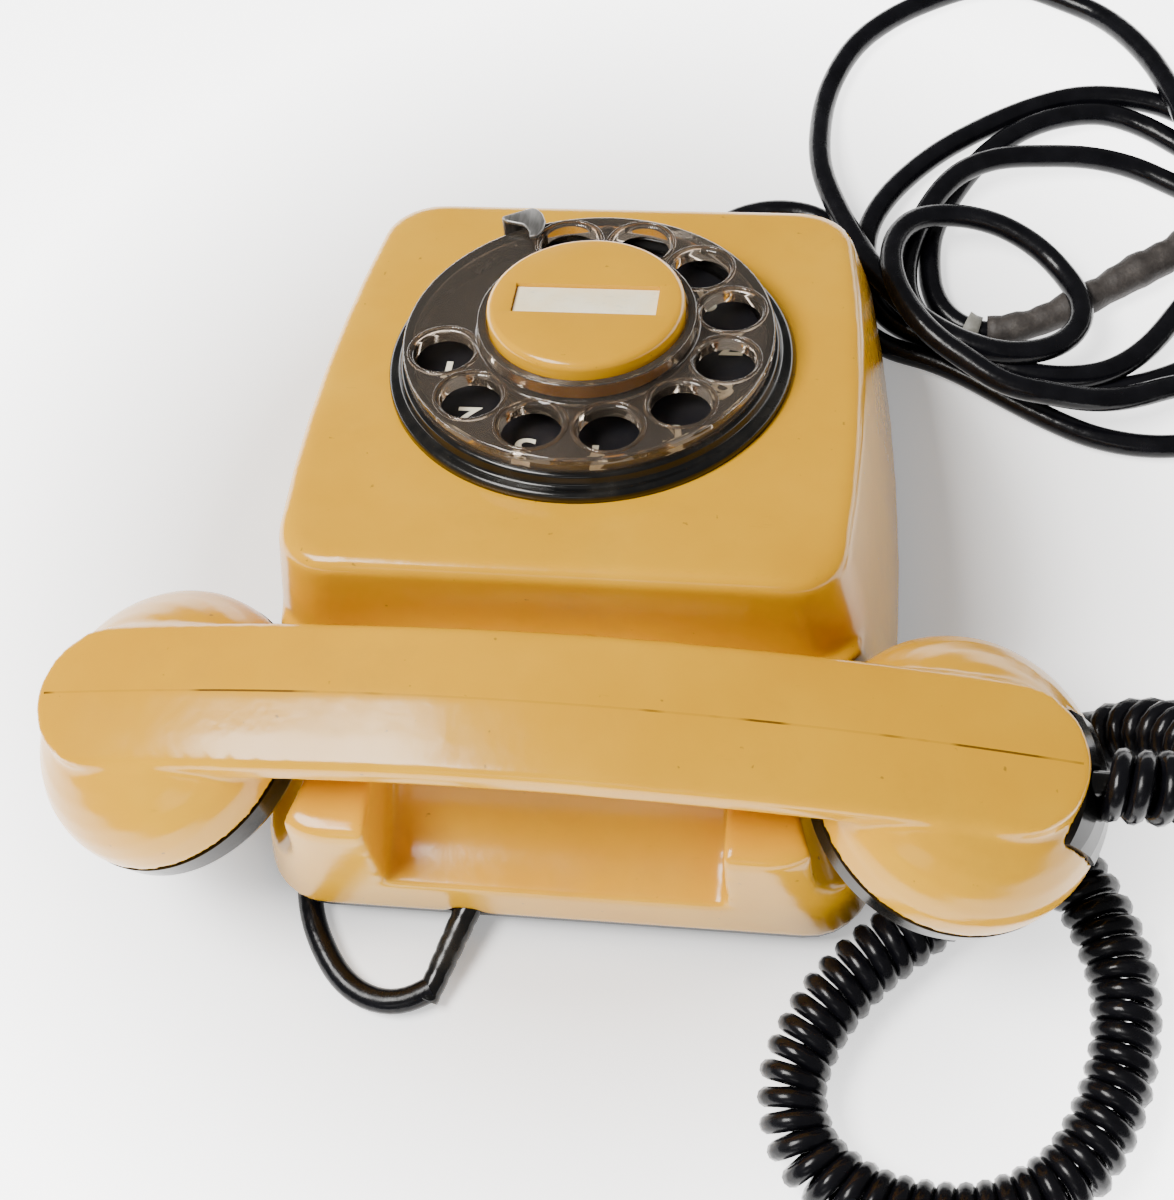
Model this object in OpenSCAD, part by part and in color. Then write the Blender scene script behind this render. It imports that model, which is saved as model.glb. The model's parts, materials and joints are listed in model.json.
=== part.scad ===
// Rotary desk telephone: a sloping dial face in front, the handset across the rear.
// +Z up, the front (the caller's side) towards -Y, millimetres.
// Origin: on the table, below the middle of the telephone with its handset on.

/* [Housing] */
// Width of the housing at its foot, at the widest place
base_w = 146; // [140:1:156]
// Front edge of the foot, forward of the origin
base_front = 94; // [90:1:100]
// Rear edge of the foot, behind the origin
base_rear = 87.5; // [84:0.5:94]
// Radius of the bulging flanks
flank_r = 480; // [400:10:900]
// Where the flanks are widest, behind the origin
flank_mid = 18; // [10:1:26]
// Corner radius of the foot
base_corner = 15; // [10:1:20]
// Wall of the moulded housing
wall = 2.6; // [2:0.1:3.2]
// Height of the rubber feet
foot_h = 6; // [5.5:0.5:10]
// Radius of a rubber foot
foot_r = 7.5; // [6:0.5:9]
// Thickness of the base plate
plate_t = 2; // [1.5:0.1:3]

/* [Sloping face] */
// Width of the sloping face
face_w = 125; // [121:1:130]
// Face in front of the dial axis, along the slope
face_front = 59.5; // [57:0.5:62]
// Face behind the dial axis, along the slope
face_rear = 66.3; // [63:0.5:67]
// Corner radius of the face
face_corner = 13; // [10:1:18]
// Rounding of the edge round the face
face_edge = 3; // [1.5:0.5:4]
// Slope of the face in degrees
face_tilt = 18; // [16:0.5:19]
// Height of the face where the dial axis meets it
face_z = 57; // [56:0.5:62]
// Where the dial axis meets the face, in front of the origin
dial_y = 30; // [28:0.5:33]
// Foot of the wall behind the face, behind the origin
block_rear = 46; // [42:1:48]

/* [Cradle] */
// Height of the deck that carries the handset
deck_z = 50; // [49:0.1:52]
// Width of the deck
deck_w = 130; // [126:1:134]
// Rear edge of the deck, behind the origin
deck_rear = 84.5; // [83:0.5:86]
// Rounding of the deck's top edge
deck_edge = 2.5; // [1.5:0.5:3]
// Radius of the finger trough between the prongs
trough_r = 34; // [31:0.5:35]
// Height of the trough's rear lip
lip_z = 24; // [23:0.5:27]
// Height of the shelves under the cups
shelf_z = 24; // [20:0.5:26]

/* [Dial] */
// Radius of the finger wheel
wheel_r = 42; // [41:0.5:43]
// Thickness of the finger wheel
wheel_t = 3; // [2.4:0.2:3.6]
// Radius of the circle of finger holes
hole_circle_r = 32.7; // [32.2:0.1:33.2]
// Radius of a finger hole
finger_r = 6.65; // [6:0.05:6.9]
// Angle from one finger hole to the next in degrees
hole_pitch = 30; // [28:0.5:30]
// Angle of the first hole from the caller's right in degrees
first_hole = 15; // [13:0.5:17]
// Outside radius of the black bezel
bezel_r = 46; // [45.5:0.5:48]
// Height of the bezel above the face
bezel_h = 5.2; // [4.8:0.1:5.4]
// Air between the bezel and the finger wheel
wheel_gap = 1.1; // [0.6:0.1:2]
// Radius of the cap in the middle
cap_r = 22.2; // [21:0.2:23]
// Height of the cap above the finger wheel
cap_h = 9; // [7:0.5:11]
// Width of the card
card_w = 32; // [28:1:34]
// Height of the card along the slope
card_l = 9.4; // [8:0.2:11]
// Thickness of the card
card_t = 0.4; // [0.3:0.1:0.8]
// Depth of the card's recess
card_depth = 1.4; // [1:0.1:2]
// Angle of the finger stop in degrees
stop_angle = -61; // [-63:0.5:-58]

/* [Dial works] */
// Module of the spur gears
gear_module = 1; // [0.8:0.05:1]
// Teeth of the main gear
main_teeth = 48; // [44:1:48]
// Teeth of the pinion
pinion_teeth = 10; // [10:1:12]
// Thickness of the main gear
gear_t = 2; // [1.5:0.1:2.5]
// Radius of the main shaft
shaft_r = 3; // [2.5:0.1:3.5]
// Radius of the pulse shaft
pulse_r = 1.5; // [1.2:0.1:2]
// Depth of the dial frame's pillars
pillar_h = 20; // [19:0.5:22]

/* [Handset] */
// Length of the handset's flat back
handset_l = 222; // [218:1:225]
// Width of the back
handset_w = 33; // [31:0.5:34]
// Thickness of the handle
handle_t = 22; // [20:0.5:24]
// Radius of the arch of the back
back_r = 430; // [400:10:500]
// Outside radius of a cup
cup_r = 32; // [31:0.5:33]
// Depth of a cup's shell, rim to crown
cup_depth = 24; // [22.5:0.5:26]
// Height of a black cap
ear_h = 9; // [8:0.5:10]
// Distance from the middle to a cup's rim centre
cup_x = 85; // [84:0.5:87]
// Height of the rim centre, handset on its deck
cup_z = 43; // [42:0.5:44]
// Inward lean of the cups in degrees
cup_tilt = 21.5; // [20:0.5:24]
// Middle of the handset, behind the origin
handset_y = 61; // [60:0.5:62]
// How far the handset lies askew on its deck, in degrees
handset_turn = 0.6; // [0:0.1:0.8]
// Wall of the handset's shells
handset_wall = 2.6; // [2:0.1:3]

/* [Ringer] */
// Radius of a gong
gong_r = 22; // [20:0.5:22]
// Height of a gong
gong_h = 13; // [11:1:14]
// Distance from the middle to a gong's post
gong_x = 29; // [28:0.5:30]
// Radius of a ringer coil
coil_r = 7; // [6:0.5:7.5]
// Length of a ringer coil
coil_l = 19; // [16:1:20]

/* [Cords] */
// Diameter of the line cord
line_d = 5; // [4.5:0.1:5.4]
// Diameter of the sleeve where the line cord leaves
sleeve_d = 6.4; // [6:0.1:7]
// Outside diameter of the curly cord
curly_d = 15; // [14:0.5:15]
// Outside radius of the loose bundle of line cord
bundle_r = 73; // [70:1:76]
// Height of the bundle
bundle_h = 18; // [14:1:20]
// Width of the line plug
plug_w = 28; // [24:1:32]

/* [Fits] */
// Radial clearance of a running fit
run_gap = 0.06; // [0.04:0.01:0.09]
// Clearance between parts that only sit next to each other
seat_gap = 0.2; // [0.1:0.05:0.3]
// Air round the cups in their pockets
pocket_gap = 1.5; // [1.2:0.1:2]

/* [Hidden] */
$fn = 64;
EPS = 0.01;
BIG = 400;

plate_z = foot_h;
shell_z = foot_h + plate_t;
TAN = [0.80, 0.62, 0.36];
BLACK = [0.07, 0.07, 0.07];
STEEL = [0.66, 0.66, 0.66];
BRASS = [0.78, 0.64, 0.33];

// Outlines: a rounded rectangle with bulging flanks, given as the points of its right half.
function flank(w, y) = w / 2 - (y - flank_mid) * (y - flank_mid) / (2 * flank_r);
function arc(cx, cy, r, from, to, n) =
    [for (i = [0:n]) let (a = from + (to - from) * i / n) [cx + r * cos(a), cy + r * sin(a)]];
function half_outline(w, front, rear, rc) =
    let (cf = rc - front, cr = rear - rc,
         af = atan((flank_mid - cf) / flank_r), ar = atan((cr - flank_mid) / flank_r),
         yf = cf - rc * sin(af), yr = cr + rc * sin(ar),
         xf = flank(w, yf) - rc * cos(af), xr = flank(w, yr) - rc * cos(ar))
    concat(arc(xf, cf, rc, -90, -af, 6),
        [for (i = [1:5]) let (y = yf + (yr - yf) * i / 6) [flank(w, y), y]],
        arc(xr, cr, rc, ar, 90, 6));

module outline(w, front, rear, rc) {
    right = half_outline(w, front, rear, rc);
    polygon(concat(right, [for (i = [len(right) - 1:-1:0]) [-right[i][0], right[i][1]]]));
}

module slab(w, front, rear, rc) {
    linear_extrude(EPS) outline(w, front, rear, rc);
}

// Places its children in the dial's own frame: origin where the axis meets the face.
module at_dial() {
    translate([0, -dial_y, face_z]) rotate([face_tilt, 0, 0]) children();
}

// ---- Housing -------------------------------------------------------------------------

// The front block under the sloping face, in by a given amount all round.
module block_form(in) {
    hull() {
        for (a = [0, 45, 90])
            at_dial() translate([0, 0, -in - face_edge * (1 - cos(a)) - EPS])
                slab(face_w - 2 * in - 2 * face_edge * (1 - sin(a)),
                    face_front - in - face_edge * (1 - sin(a)),
                    face_rear - in - face_edge * (1 - sin(a)), face_corner);
        translate([0, 0, in > 0 ? shell_z - 1 : shell_z])
            slab(base_w - 2 * in, base_front - in, block_rear - in, base_corner);
    }
}

// The rear block that ends in the deck.
module deck_form(in) {
    hull() {
        translate([0, 0, in > 0 ? shell_z - 1 : shell_z])
            slab(base_w - 2 * in, 0, base_rear - in, base_corner);
        for (a = [0, 45, 90]) translate([0, 0, deck_z - in - deck_edge * (1 - cos(a)) - EPS])
            slab(deck_w - 2 * in - 2 * deck_edge * (1 - sin(a)), 0,
                deck_rear - in - deck_edge * (1 - sin(a)), base_corner);
    }
}

pocket_in = cup_x - cup_r * cos(cup_tilt) - ear_h * sin(cup_tilt) / 2 - pocket_gap;
pocket_r = cup_r + pocket_gap;
pocket_back_r = 50;
pocket_fillet = 14;

// A flat-floored round hollow with a filleted rim, against a given inner edge.
module round_hollow(r, grow) {
    translate([pocket_in + r, handset_y, shelf_z - grow]) rotate_extrude() {
        translate([0, pocket_fillet]) square([r + grow, BIG]);
        square([r + grow - pocket_fillet, BIG]);
        translate([r + grow - pocket_fillet, pocket_fillet]) intersection() {
            circle(pocket_fillet);
            translate([-pocket_fillet / 2, -pocket_fillet]) square(2 * pocket_fillet);
        }
    }
}

// The hollow beside the deck that leaves room for a cup; it opens out towards the rear.
module cup_pocket(side, grow) {
    mirror([side > 0 ? 0 : 1, 0, 0]) {
        round_hollow(pocket_r, grow);
        intersection() {
            round_hollow(pocket_back_r, grow);
            translate([0, handset_y, 0]) cube(BIG);
        }
    }
}

plunger_w = 6;
plunger_l = 8;
plunger_foot = 28;
plunger_lip = 1;
plunger_air = 0.4;
lip_t = 2;
plunger_x = pocket_in - wall - plunger_w / 2 - plunger_lip - plunger_air;
trough_y = deck_rear + 1.5;
trough_w = 2 * (plunger_x - plunger_w / 2 - plunger_lip - plunger_air - wall);

// The scoop under the handle, where fingers reach in to lift the handset.
module trough(grow) {
    translate([-trough_w / 2 - grow, trough_y, lip_z + trough_r])
        rotate([0, 90, 0]) cylinder(r = trough_r + grow, h = trough_w + 2 * grow, $fn = 96);
}

module housing_form() {
    difference() {
        union() {
            block_form(0);
            deck_form(0);
        }
        trough(0);
        cup_pocket(1, 0);
        cup_pocket(-1, 0);
    }
}

screw_places = [[48, -74], [-48, -74], [27, 75], [-27, 75]];
boss_r = 4.5;
screw_r = 1.9;
screw_l = 11;

module at_screws() {
    for (p = screw_places) translate([p[0], p[1], 0]) children();
}

dial_bore = wheel_r - 1;
clamp_r = (dial_bore + bezel_r) / 2;
clamp_screw_r = 1;
clamp_angles = [30, 150, 270];
bezel_in = dial_bore - 1;
plate_seat = 0.4;

sleeve_from = [20.6, 83, 8.6];
sleeve_to = [28.6, 104, 3.6];
sleeve_axis = sleeve_to - sleeve_from;

// A round bar from one point to another.
module bar(a, b, r) {
    d = b - a;
    translate(a) rotate([0, acos(d[2] / norm(d)), atan2(d[1], d[0])])
        cylinder(r = r, h = norm(d));
}

curly_exit = [-71, 46, 12];
grommet_r = 3.6;
grommet_in = 3;
grommet_out = 8;

module housing_shell() color(TAN) {
    difference() {
        housing_form();
        difference() {
            union() {
                block_form(wall);
                deck_form(wall);
            }
            trough(wall);
            cup_pocket(1, wall);
            cup_pocket(-1, wall);
            at_screws() cylinder(r = boss_r, h = BIG);
            for (s = [-1, 1]) translate([s * plunger_x, handset_y, deck_z - 8])
                linear_extrude(BIG) square([plunger_w + 4, plunger_l + 4], center = true);
        }
        at_screws() translate([0, 0, -1]) cylinder(r = screw_r - 0.3, h = shell_z + screw_l + 1);
        at_dial() translate([0, 0, -3 * wall]) cylinder(r = dial_bore, h = BIG / 4, $fn = 128);
        at_dial() for (a = clamp_angles) rotate([0, 0, a]) translate([clamp_r, 0, -3 * wall])
            cylinder(r = clamp_screw_r + seat_gap, h = 6 * wall, $fn = 24);
        for (s = [-1, 1]) translate([s * plunger_x, handset_y, plunger_foot])
            linear_extrude(BIG) square([plunger_w + 2 * seat_gap, plunger_l + 2 * seat_gap],
                center = true);
        bar(sleeve_from - sleeve_axis, sleeve_to, sleeve_d / 2 + EPS);
        translate(curly_exit) rotate([0, 90, 0])
            cylinder(r = grommet_r, h = 30, center = true, $fn = 32);
    }
}

module base_plate() color(BLACK) {
    lip = 0.7;
    difference() {
        union() {
            translate([0, 0, plate_z]) linear_extrude(plate_t)
                outline(base_w - 2 * lip, base_front - lip, base_rear - lip, base_corner);
            for (p = board_posts) translate([p[0], p[1], plate_z]) cylinder(r = 3, h = board_z - plate_z);
        }
        at_screws() translate([0, 0, -EPS]) cylinder(r = screw_r + seat_gap, h = BIG);
        at_feet() translate([0, 0, -EPS]) cylinder(r = peg_r + EPS, h = BIG);
        bar(sleeve_from - sleeve_axis, sleeve_to, sleeve_d / 2 + EPS);
    }
}

foot_places = [[52, -58], [-52, -58], [40, 66], [-40, 66]];
peg_r = 2.5;

module at_feet() {
    for (p = foot_places) translate([p[0], p[1], 0]) children();
}

module rubber_feet() color([0.12, 0.12, 0.12]) {
    at_feet() {
        cylinder(r = foot_r, h = foot_h);
        cylinder(r = peg_r, h = foot_h + plate_t);
    }
}

module housing_screws() color(STEEL) {
    at_screws() {
        translate([0, 0, plate_z - 1.6]) cylinder(r = 3.4, h = 1.6 - EPS);
        translate([0, 0, plate_z - 1]) cylinder(r = screw_r - 0.35, h = screw_l + plate_t);
    }
}

// ---- Dial ----------------------------------------------------------------------------

module dial_bezel() color(BLACK) at_dial() {
    step_r = bezel_r - 2.6;
    difference() {
        rotate_extrude($fn = 128) polygon([[bezel_in, EPS], [bezel_r, EPS], [bezel_r, 1.6],
            [bezel_r - 0.7, 2.4], [step_r, 2.6], [step_r, bezel_h - 0.8],
            [step_r - 0.8, bezel_h], [bezel_in + 0.6, bezel_h], [bezel_in, bezel_h - 0.6]]);
        for (a = clamp_angles) rotate([0, 0, a]) translate([clamp_r, 0, -1])
            cylinder(r = clamp_screw_r + EPS, h = 3, $fn = 24);
        rotate([0, 0, stop_angle]) translate([stop_r - EPS, -stop_w / 2 - EPS, -1])
            cube([stop_t + 2 * EPS, stop_w + 2 * EPS, BIG]);
    }
}

stop_r = bezel_r - 1.5;
stop_t = 1.1;
stop_w = 8;
flange_t = 1.6;
frame_z = -wall - flange_t;
bracket_t = 1.4;

module dial_screws() color(STEEL) at_dial() {
    for (a = clamp_angles) rotate([0, 0, a]) translate([clamp_r, 0, 0]) {
        translate([0, 0, frame_z - 1.6]) cylinder(r = 2, h = 1.5, $fn = 32);
        translate([0, 0, frame_z - 0.5]) cylinder(r = clamp_screw_r, h = 2.3 - frame_z, $fn = 24);
    }
}

plate_top = 1.2;

module number_plate() color(BLACK) at_dial() {
    translate([0, 0, plate_seat]) difference() {
        cylinder(r = bezel_in - seat_gap, h = plate_top - plate_seat, $fn = 128);
        translate([0, 0, -1]) cylinder(r = hub_r - 10, h = 3);
    }
}

pulse_d = gear_module * (main_teeth + pinion_teeth) / 2 + 0.1;
bridge_z = -pillar_h;
bush_r = shaft_r + 3;
arm_angles = [100, -100, 0];
post_r = 2.2;
lug_w = 10;
bridge_t = 1.6;
bridge_w = 6;

// Places its children on the pulse shaft's axis, to the caller's left of the dial axis.
module at_pulse() {
    translate([-pulse_d, 0, 0]) children();
}

module dial_frame() color(STEEL) at_dial() {
    difference() {
        union() {
            translate([0, 0, frame_z + EPS]) {
                cylinder(r = dial_bore - seat_gap, h = -frame_z - 2 * EPS, $fn = 128);
                cylinder(r = bezel_in - seat_gap, h = plate_seat - frame_z - 2 * EPS, $fn = 128);
            }
            for (a = clamp_angles) rotate([0, 0, a])
                translate([clamp_r - 0.75 * lug_w, -lug_w / 2, frame_z])
                    cube([lug_w, lug_w, flange_t - EPS]);
            for (a = arm_angles) rotate([0, 0, a])
                translate([frame_post, 0, bridge_z]) cylinder(r = post_r, h = pillar_h, $fn = 32);
        }
        translate([0, 0, -BIG / 2]) cylinder(r = shaft_r + run_gap, h = BIG);
        at_pulse() translate([0, 0, -BIG / 2]) cylinder(r = pulse_r + run_gap, h = BIG, $fn = 48);
        for (a = clamp_angles) rotate([0, 0, a]) translate([clamp_r, 0, -BIG / 2])
            cylinder(r = clamp_screw_r + seat_gap, h = BIG, $fn = 24);
    }
}

frame_post = gear_module * main_teeth / 2 + 5;

module works_bridge() color(BRASS) at_dial() {
    pulse_lug = bridge_w + 2;
    translate([0, 0, bridge_z - bridge_t - EPS]) difference() {
        union() {
            for (a = arm_angles) rotate([0, 0, a]) translate([0, -bridge_w / 2, 0])
                cube([frame_post + bridge_w / 2, bridge_w, bridge_t]);
            cylinder(r = bush_r + 2, h = bridge_t);
            translate([-pulse_d - pulse_lug / 2, -pulse_lug / 2, 0])
                cube([pulse_d, pulse_lug, bridge_t]);
        }
        translate([0, 0, -1]) cylinder(r = shaft_r + run_gap, h = bridge_t + 2);
        translate([-pulse_d, 0, -1])
            cylinder(r = pulse_r + run_gap, h = bridge_t + 2, $fn = 48);
    }
}

stop_air = 1.2;
stop_reach = 2;
stop_hook_r = 5.2;

module finger_stop() color(STEEL) at_dial() {
    lift = wheel_top + stop_air;
    rotate([0, 0, stop_angle]) {
        translate([stop_r, -stop_w / 2, EPS]) cube([stop_t, stop_w, lift]);
        translate([0, 0, lift]) linear_extrude(stop_t) difference() {
            polygon([[stop_r + stop_t, stop_w / 2], [stop_r + stop_t, -stop_w / 2],
                [hole_circle_r + stop_reach + 3, -stop_w / 2],
                [hole_circle_r + stop_reach, -stop_w / 5]]);
            translate([hole_circle_r + stop_hook_r - 0.7, stop_w / 2 + 0.8])
                circle(stop_hook_r, $fn = 48);
        }
    }
}

wheel_bottom = bezel_h + wheel_gap;
wheel_top = wheel_bottom + wheel_t;
hub_r = cap_r + 2.4;
hub_h = 5;

module finger_wheel() color([0.35, 0.30, 0.24]) at_dial() {
    difference() {
        rotate_extrude($fn = 128) polygon([[shaft_r + run_gap, wheel_bottom],
            [wheel_r - 1.6, wheel_bottom], [wheel_r - 1.2, wheel_bottom - 0.6],
            [wheel_r - 0.2, wheel_bottom - 0.6], [wheel_r, wheel_bottom],
            [wheel_r, wheel_top - 0.8], [wheel_r - 0.8, wheel_top],
            [hub_r + 1.6, wheel_top], [hub_r, wheel_top + hub_h - 1],
            [hub_r - 0.8, wheel_top + hub_h], [cap_r + seat_gap, wheel_top + hub_h],
            [cap_r + seat_gap, wheel_top], [shaft_r + run_gap, wheel_top]]);
        for (k = [0:9]) rotate([0, 0, first_hole + k * hole_pitch])
            translate([hole_circle_r, 0, wheel_bottom - 1])
                cylinder(r = finger_r, h = wheel_t + 2, $fn = 64);
    }
}

module dial_cap() color(TAN) at_dial() {
    top = wheel_top + cap_h;
    difference() {
        rotate_extrude($fn = 96) polygon([[cap_r - 2, wheel_top + EPS], [cap_r, wheel_top + EPS],
            [cap_r, top - 1.8], [cap_r - 0.5, top - 0.6], [cap_r - 1.8, top], [0, top],
            [0, top - 3.4], [cap_r - 3, top - 3.4]]);
        translate([-card_w / 2 - seat_gap, -card_l / 2 - seat_gap, top - card_depth])
            cube([card_w + 2 * seat_gap, card_l + 2 * seat_gap, card_depth + 1]);
    }
}

module dial_card() color([0.90, 0.87, 0.76]) at_dial() {
    translate([-card_w / 2, -card_l / 2, wheel_top + cap_h - card_depth + EPS])
        cube([card_w, card_l, card_t]);
}

gear_z = -8;
shaft_tail = 3;

module main_shaft() color(STEEL) at_dial() {
    translate([0, 0, bridge_z - shaft_tail])
        cylinder(r = shaft_r, h = pillar_h + wheel_top + shaft_tail + 1);
    translate([0, 0, wheel_top + EPS]) cylinder(r = shaft_r + 2, h = 2);
}

// Involute stub teeth: the outline of a spur gear with a given number of teeth.
pressure = 25;
addendum = 0.8;
dedendum = 1.05;
tooth_slack = 3;
function involute(rb, a) = [rb * (cos(a) + a * PI / 180 * sin(a)),
    rb * (sin(a) - a * PI / 180 * cos(a))];
function roll_to(rb, r) = r <= rb ? 0 : sqrt(r * r / rb / rb - 1) * 180 / PI;
function turned(p, a) = [p[0] * cos(a) - p[1] * sin(a), p[0] * sin(a) + p[1] * cos(a)];
function flank_points(m, n) =
    let (rp = m * n / 2, rb = rp * cos(pressure), roll = roll_to(rb, rp),
         half = 90 / n - tooth_slack / n + atan2(involute(rb, roll)[1], involute(rb, roll)[0]))
    concat([turned([rp - dedendum * m, 0], -half)],
        [for (i = [0:3]) let (r = max(rb, rp - dedendum * m) + i / 3
            * (rp + addendum * m - max(rb, rp - dedendum * m)))
            turned(involute(rb, roll_to(rb, r)), -half)]);
function tooth_points(m, n) =
    let (side = flank_points(m, n))
    concat(side, [for (i = [len(side) - 1:-1:0]) [side[i][0], -side[i][1]]]);

module spur(m, n, t, phase) {
    tooth = tooth_points(m, n);
    rotate([0, 0, phase]) linear_extrude(t)
        polygon([for (k = [0:n - 1]) for (p = tooth) turned(p, k * 360 / n)]);
}

gear_boss = 1.5;
gear_hole_r = 3.4;

module main_gear() color(BRASS) at_dial() {
    translate([0, 0, gear_z]) difference() {
        union() {
            spur(gear_module, main_teeth, gear_t, 180);
            cylinder(r = bush_r, h = gear_t + gear_boss);
        }
        translate([0, 0, -1]) cylinder(r = shaft_r + EPS, h = gear_t + gear_boss + 2);
        for (a = [0:60:300]) rotate([0, 0, a])
            translate([gear_module * main_teeth / 3, 0, -1])
                cylinder(r = gear_hole_r, h = gear_t + 2, $fn = 32);
    }
}

spring_turns = 3;
spring_in = shaft_r + 0.6;
spring_out = 13;
spring_t = 0.5;
spring_w = 4;
spring_z = gear_z - 7;

spring_step = 18;
spring_steps = spring_turns * 360 / spring_step;
function spring_r(i) = spring_in + (spring_out - spring_in) * i / spring_steps;

// The coiled clock spring that brings the dial back: an Archimedean strip.
module return_spring() color([0.30, 0.32, 0.38]) at_dial() {
    translate([0, 0, spring_z]) linear_extrude(spring_w) polygon(concat(
        [for (i = [0:spring_steps]) turned([spring_r(i), 0], i * spring_step)],
        [for (i = [spring_steps:-1:0]) turned([spring_r(i) + spring_t, 0], i * spring_step)]));
}

barrel_in = spring_out + 1;
barrel_t = 1.2;
barrel_arm = 4;

module spring_barrel() color(STEEL) at_dial() {
    translate([0, 0, spring_z - barrel_t]) difference() {
        cylinder(r = barrel_in + barrel_t, h = spring_w + barrel_t, $fn = 96);
        translate([0, 0, barrel_t - EPS]) cylinder(r = barrel_in, h = spring_w + 1, $fn = 96);
        translate([0, 0, -1]) cylinder(r = shaft_r + 0.4, h = barrel_t + 2);
    }
    for (a = arm_angles) rotate([0, 0, a]) translate([barrel_in + 0.4, -barrel_arm / 2, spring_z])
        cube([frame_post - post_r - barrel_in - 0.6, barrel_arm, 1]);
}

worm_teeth = 15;
worm_wheel_z = -18;
worm_wheel_r = 7;
worm_r = 2.2;
worm_wheel_t = 2.4;
worm_notch = [1.6, 1.2];
governor_x = pulse_d + worm_wheel_r + worm_r + 0.6;
cam_z = -13;

module pulse_shaft() color(BRASS) at_dial() {
    at_pulse() {
        translate([0, 0, bridge_z - shaft_tail])
            cylinder(r = pulse_r, h = pillar_h + shaft_tail - 0.4, $fn = 48);
        translate([0, 0, gear_z - 0.5])
            spur(gear_module, pinion_teeth, gear_t + 1, 180 / pinion_teeth);
        translate([0, 0, worm_wheel_z]) linear_extrude(worm_wheel_t) difference() {
            circle(worm_wheel_r, $fn = 64);
            for (k = [0:worm_teeth - 1]) rotate([0, 0, k * 360 / worm_teeth])
                translate([worm_wheel_r, 0]) square(worm_notch, center = true);
        }
    }
}

cam_t = 1.8;
cam_r = 3.4;
cam_lobe = 2.6;

module pulse_cam() color([0.55, 0.20, 0.12]) at_dial() {
    at_pulse() translate([0, 0, cam_z]) linear_extrude(cam_t) difference() {
        union() {
            circle(cam_r, $fn = 48);
            for (a = [90, 270]) rotate([0, 0, a]) translate([cam_lobe, 0])
                circle(cam_lobe, $fn = 48);
        }
        circle(pulse_r + EPS, $fn = 48);
    }
}

contact_block = [6, 5, 8];
contact_x = cam_r + 5.6;
contact_y = 13;
contact_gap = 2.4;
blade = [0.5, 17, 3];

// Two sprung blades under an insulating block, beside the cam.
module pulse_contacts() color(BRASS) at_dial() {
    translate([-pulse_d - contact_x, -contact_y, 0]) {
        translate([0, 0, frame_z - contact_block[2]])
            cube(contact_block - [0, 0, bracket_t + EPS]);
        for (k = [0, 1]) translate([0.4 + k * contact_gap, 1, cam_z - 0.5]) cube(blade);
    }
}

// The governor turns across the dial axis, beside the worm wheel.
module at_governor() {
    translate([-governor_x, 0, worm_wheel_z + worm_wheel_t / 2]) rotate([-90, 0, 0]) children();
}

cup_inner = 7.4;
governor_l = 30;
governor_r = 1;
governor_drop = frame_z - worm_wheel_z - worm_wheel_t / 2;
worm_l = 10;
collar_r = 2.6;
collar_t = 2;
weight_z = governor_l / 2 - 4 + EPS;
weight_t = 3;
weight_in = 3.6;
strip_w = 3.6;
cheek_w = 6;
cheek_t = 1.1;
cheek_end = 0.6;
cup_z0 = governor_l / 2 - 5;
cup_h = 6.5;

module governor_shaft() color(STEEL) at_dial() at_governor() {
    translate([0, 0, -governor_l / 2 - cheek_end])
        cylinder(r = governor_r, h = governor_l + 2, $fn = 32);
    translate([0, 0, -worm_l / 2]) cylinder(r = worm_r, h = worm_l, $fn = 48);
    translate([0, 0, weight_z - EPS - collar_t]) cylinder(r = collar_r, h = collar_t, $fn = 32);
}

// Two weights on a sprung strip, which fly out against the cup.
module governor_weights() color(BRASS) at_dial() at_governor() {
    strip_l = 2 * (cup_inner - 1.6);
    translate([0, 0, weight_z]) {
        for (s = [-1, 1]) intersection() {
            difference() {
                cylinder(r = cup_inner - 0.6, h = weight_t, $fn = 64);
                translate([0, 0, -1]) cylinder(r = weight_in, h = weight_t + 2, $fn = 32);
            }
            translate([0, s * cup_inner, weight_t / 2])
                cube([2 * weight_in, cup_inner + 3, weight_t + 1], center = true);
        }
        difference() {
            translate([-strip_w / 2, -strip_l / 2, 0]) cube([strip_w, strip_l, 1]);
            translate([0, 0, -1]) cylinder(r = governor_r + EPS, h = 3, $fn = 32);
        }
    }
}

module governor_cup() color(STEEL) at_dial() at_governor() {
    difference() {
        union() {
            translate([0, 0, cup_z0]) difference() {
                cylinder(r = cup_inner + 1, h = cup_h, $fn = 64);
                translate([0, 0, -1]) cylinder(r = cup_inner, h = cup_h - 0.2, $fn = 64);
            }
            translate([-cheek_w / 2, -governor_drop, cup_z0 + cup_h - cheek_t])
                cube([cheek_w, governor_drop, cheek_t]);
            translate([-cheek_w / 2, -governor_drop, -governor_l / 2 - cheek_end]) {
                cube([cheek_w, governor_drop + cheek_w / 2, cheek_t]);
                cube([cheek_w, bracket_t, cup_z0 + cup_h + governor_l / 2 + cheek_end]);
            }
        }
        translate([0, 0, -governor_l])
            cylinder(r = governor_r + run_gap, h = 2 * governor_l, $fn = 32);
    }
}

// ---- Cradle switch -------------------------------------------------------------------

hook_travel = 4;
lever_y = 48;
lever_z = 24;
lever_arm = handset_y - lever_y;
lever_t = 1.6;
lever_w = 6;
pin_r = 1.5;
tube_r = 2.6;
plunger_drop = 0.4;
cheek_gap = 4.5;
hook_cheek = 1.6;
cheek_l = 8;

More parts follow.
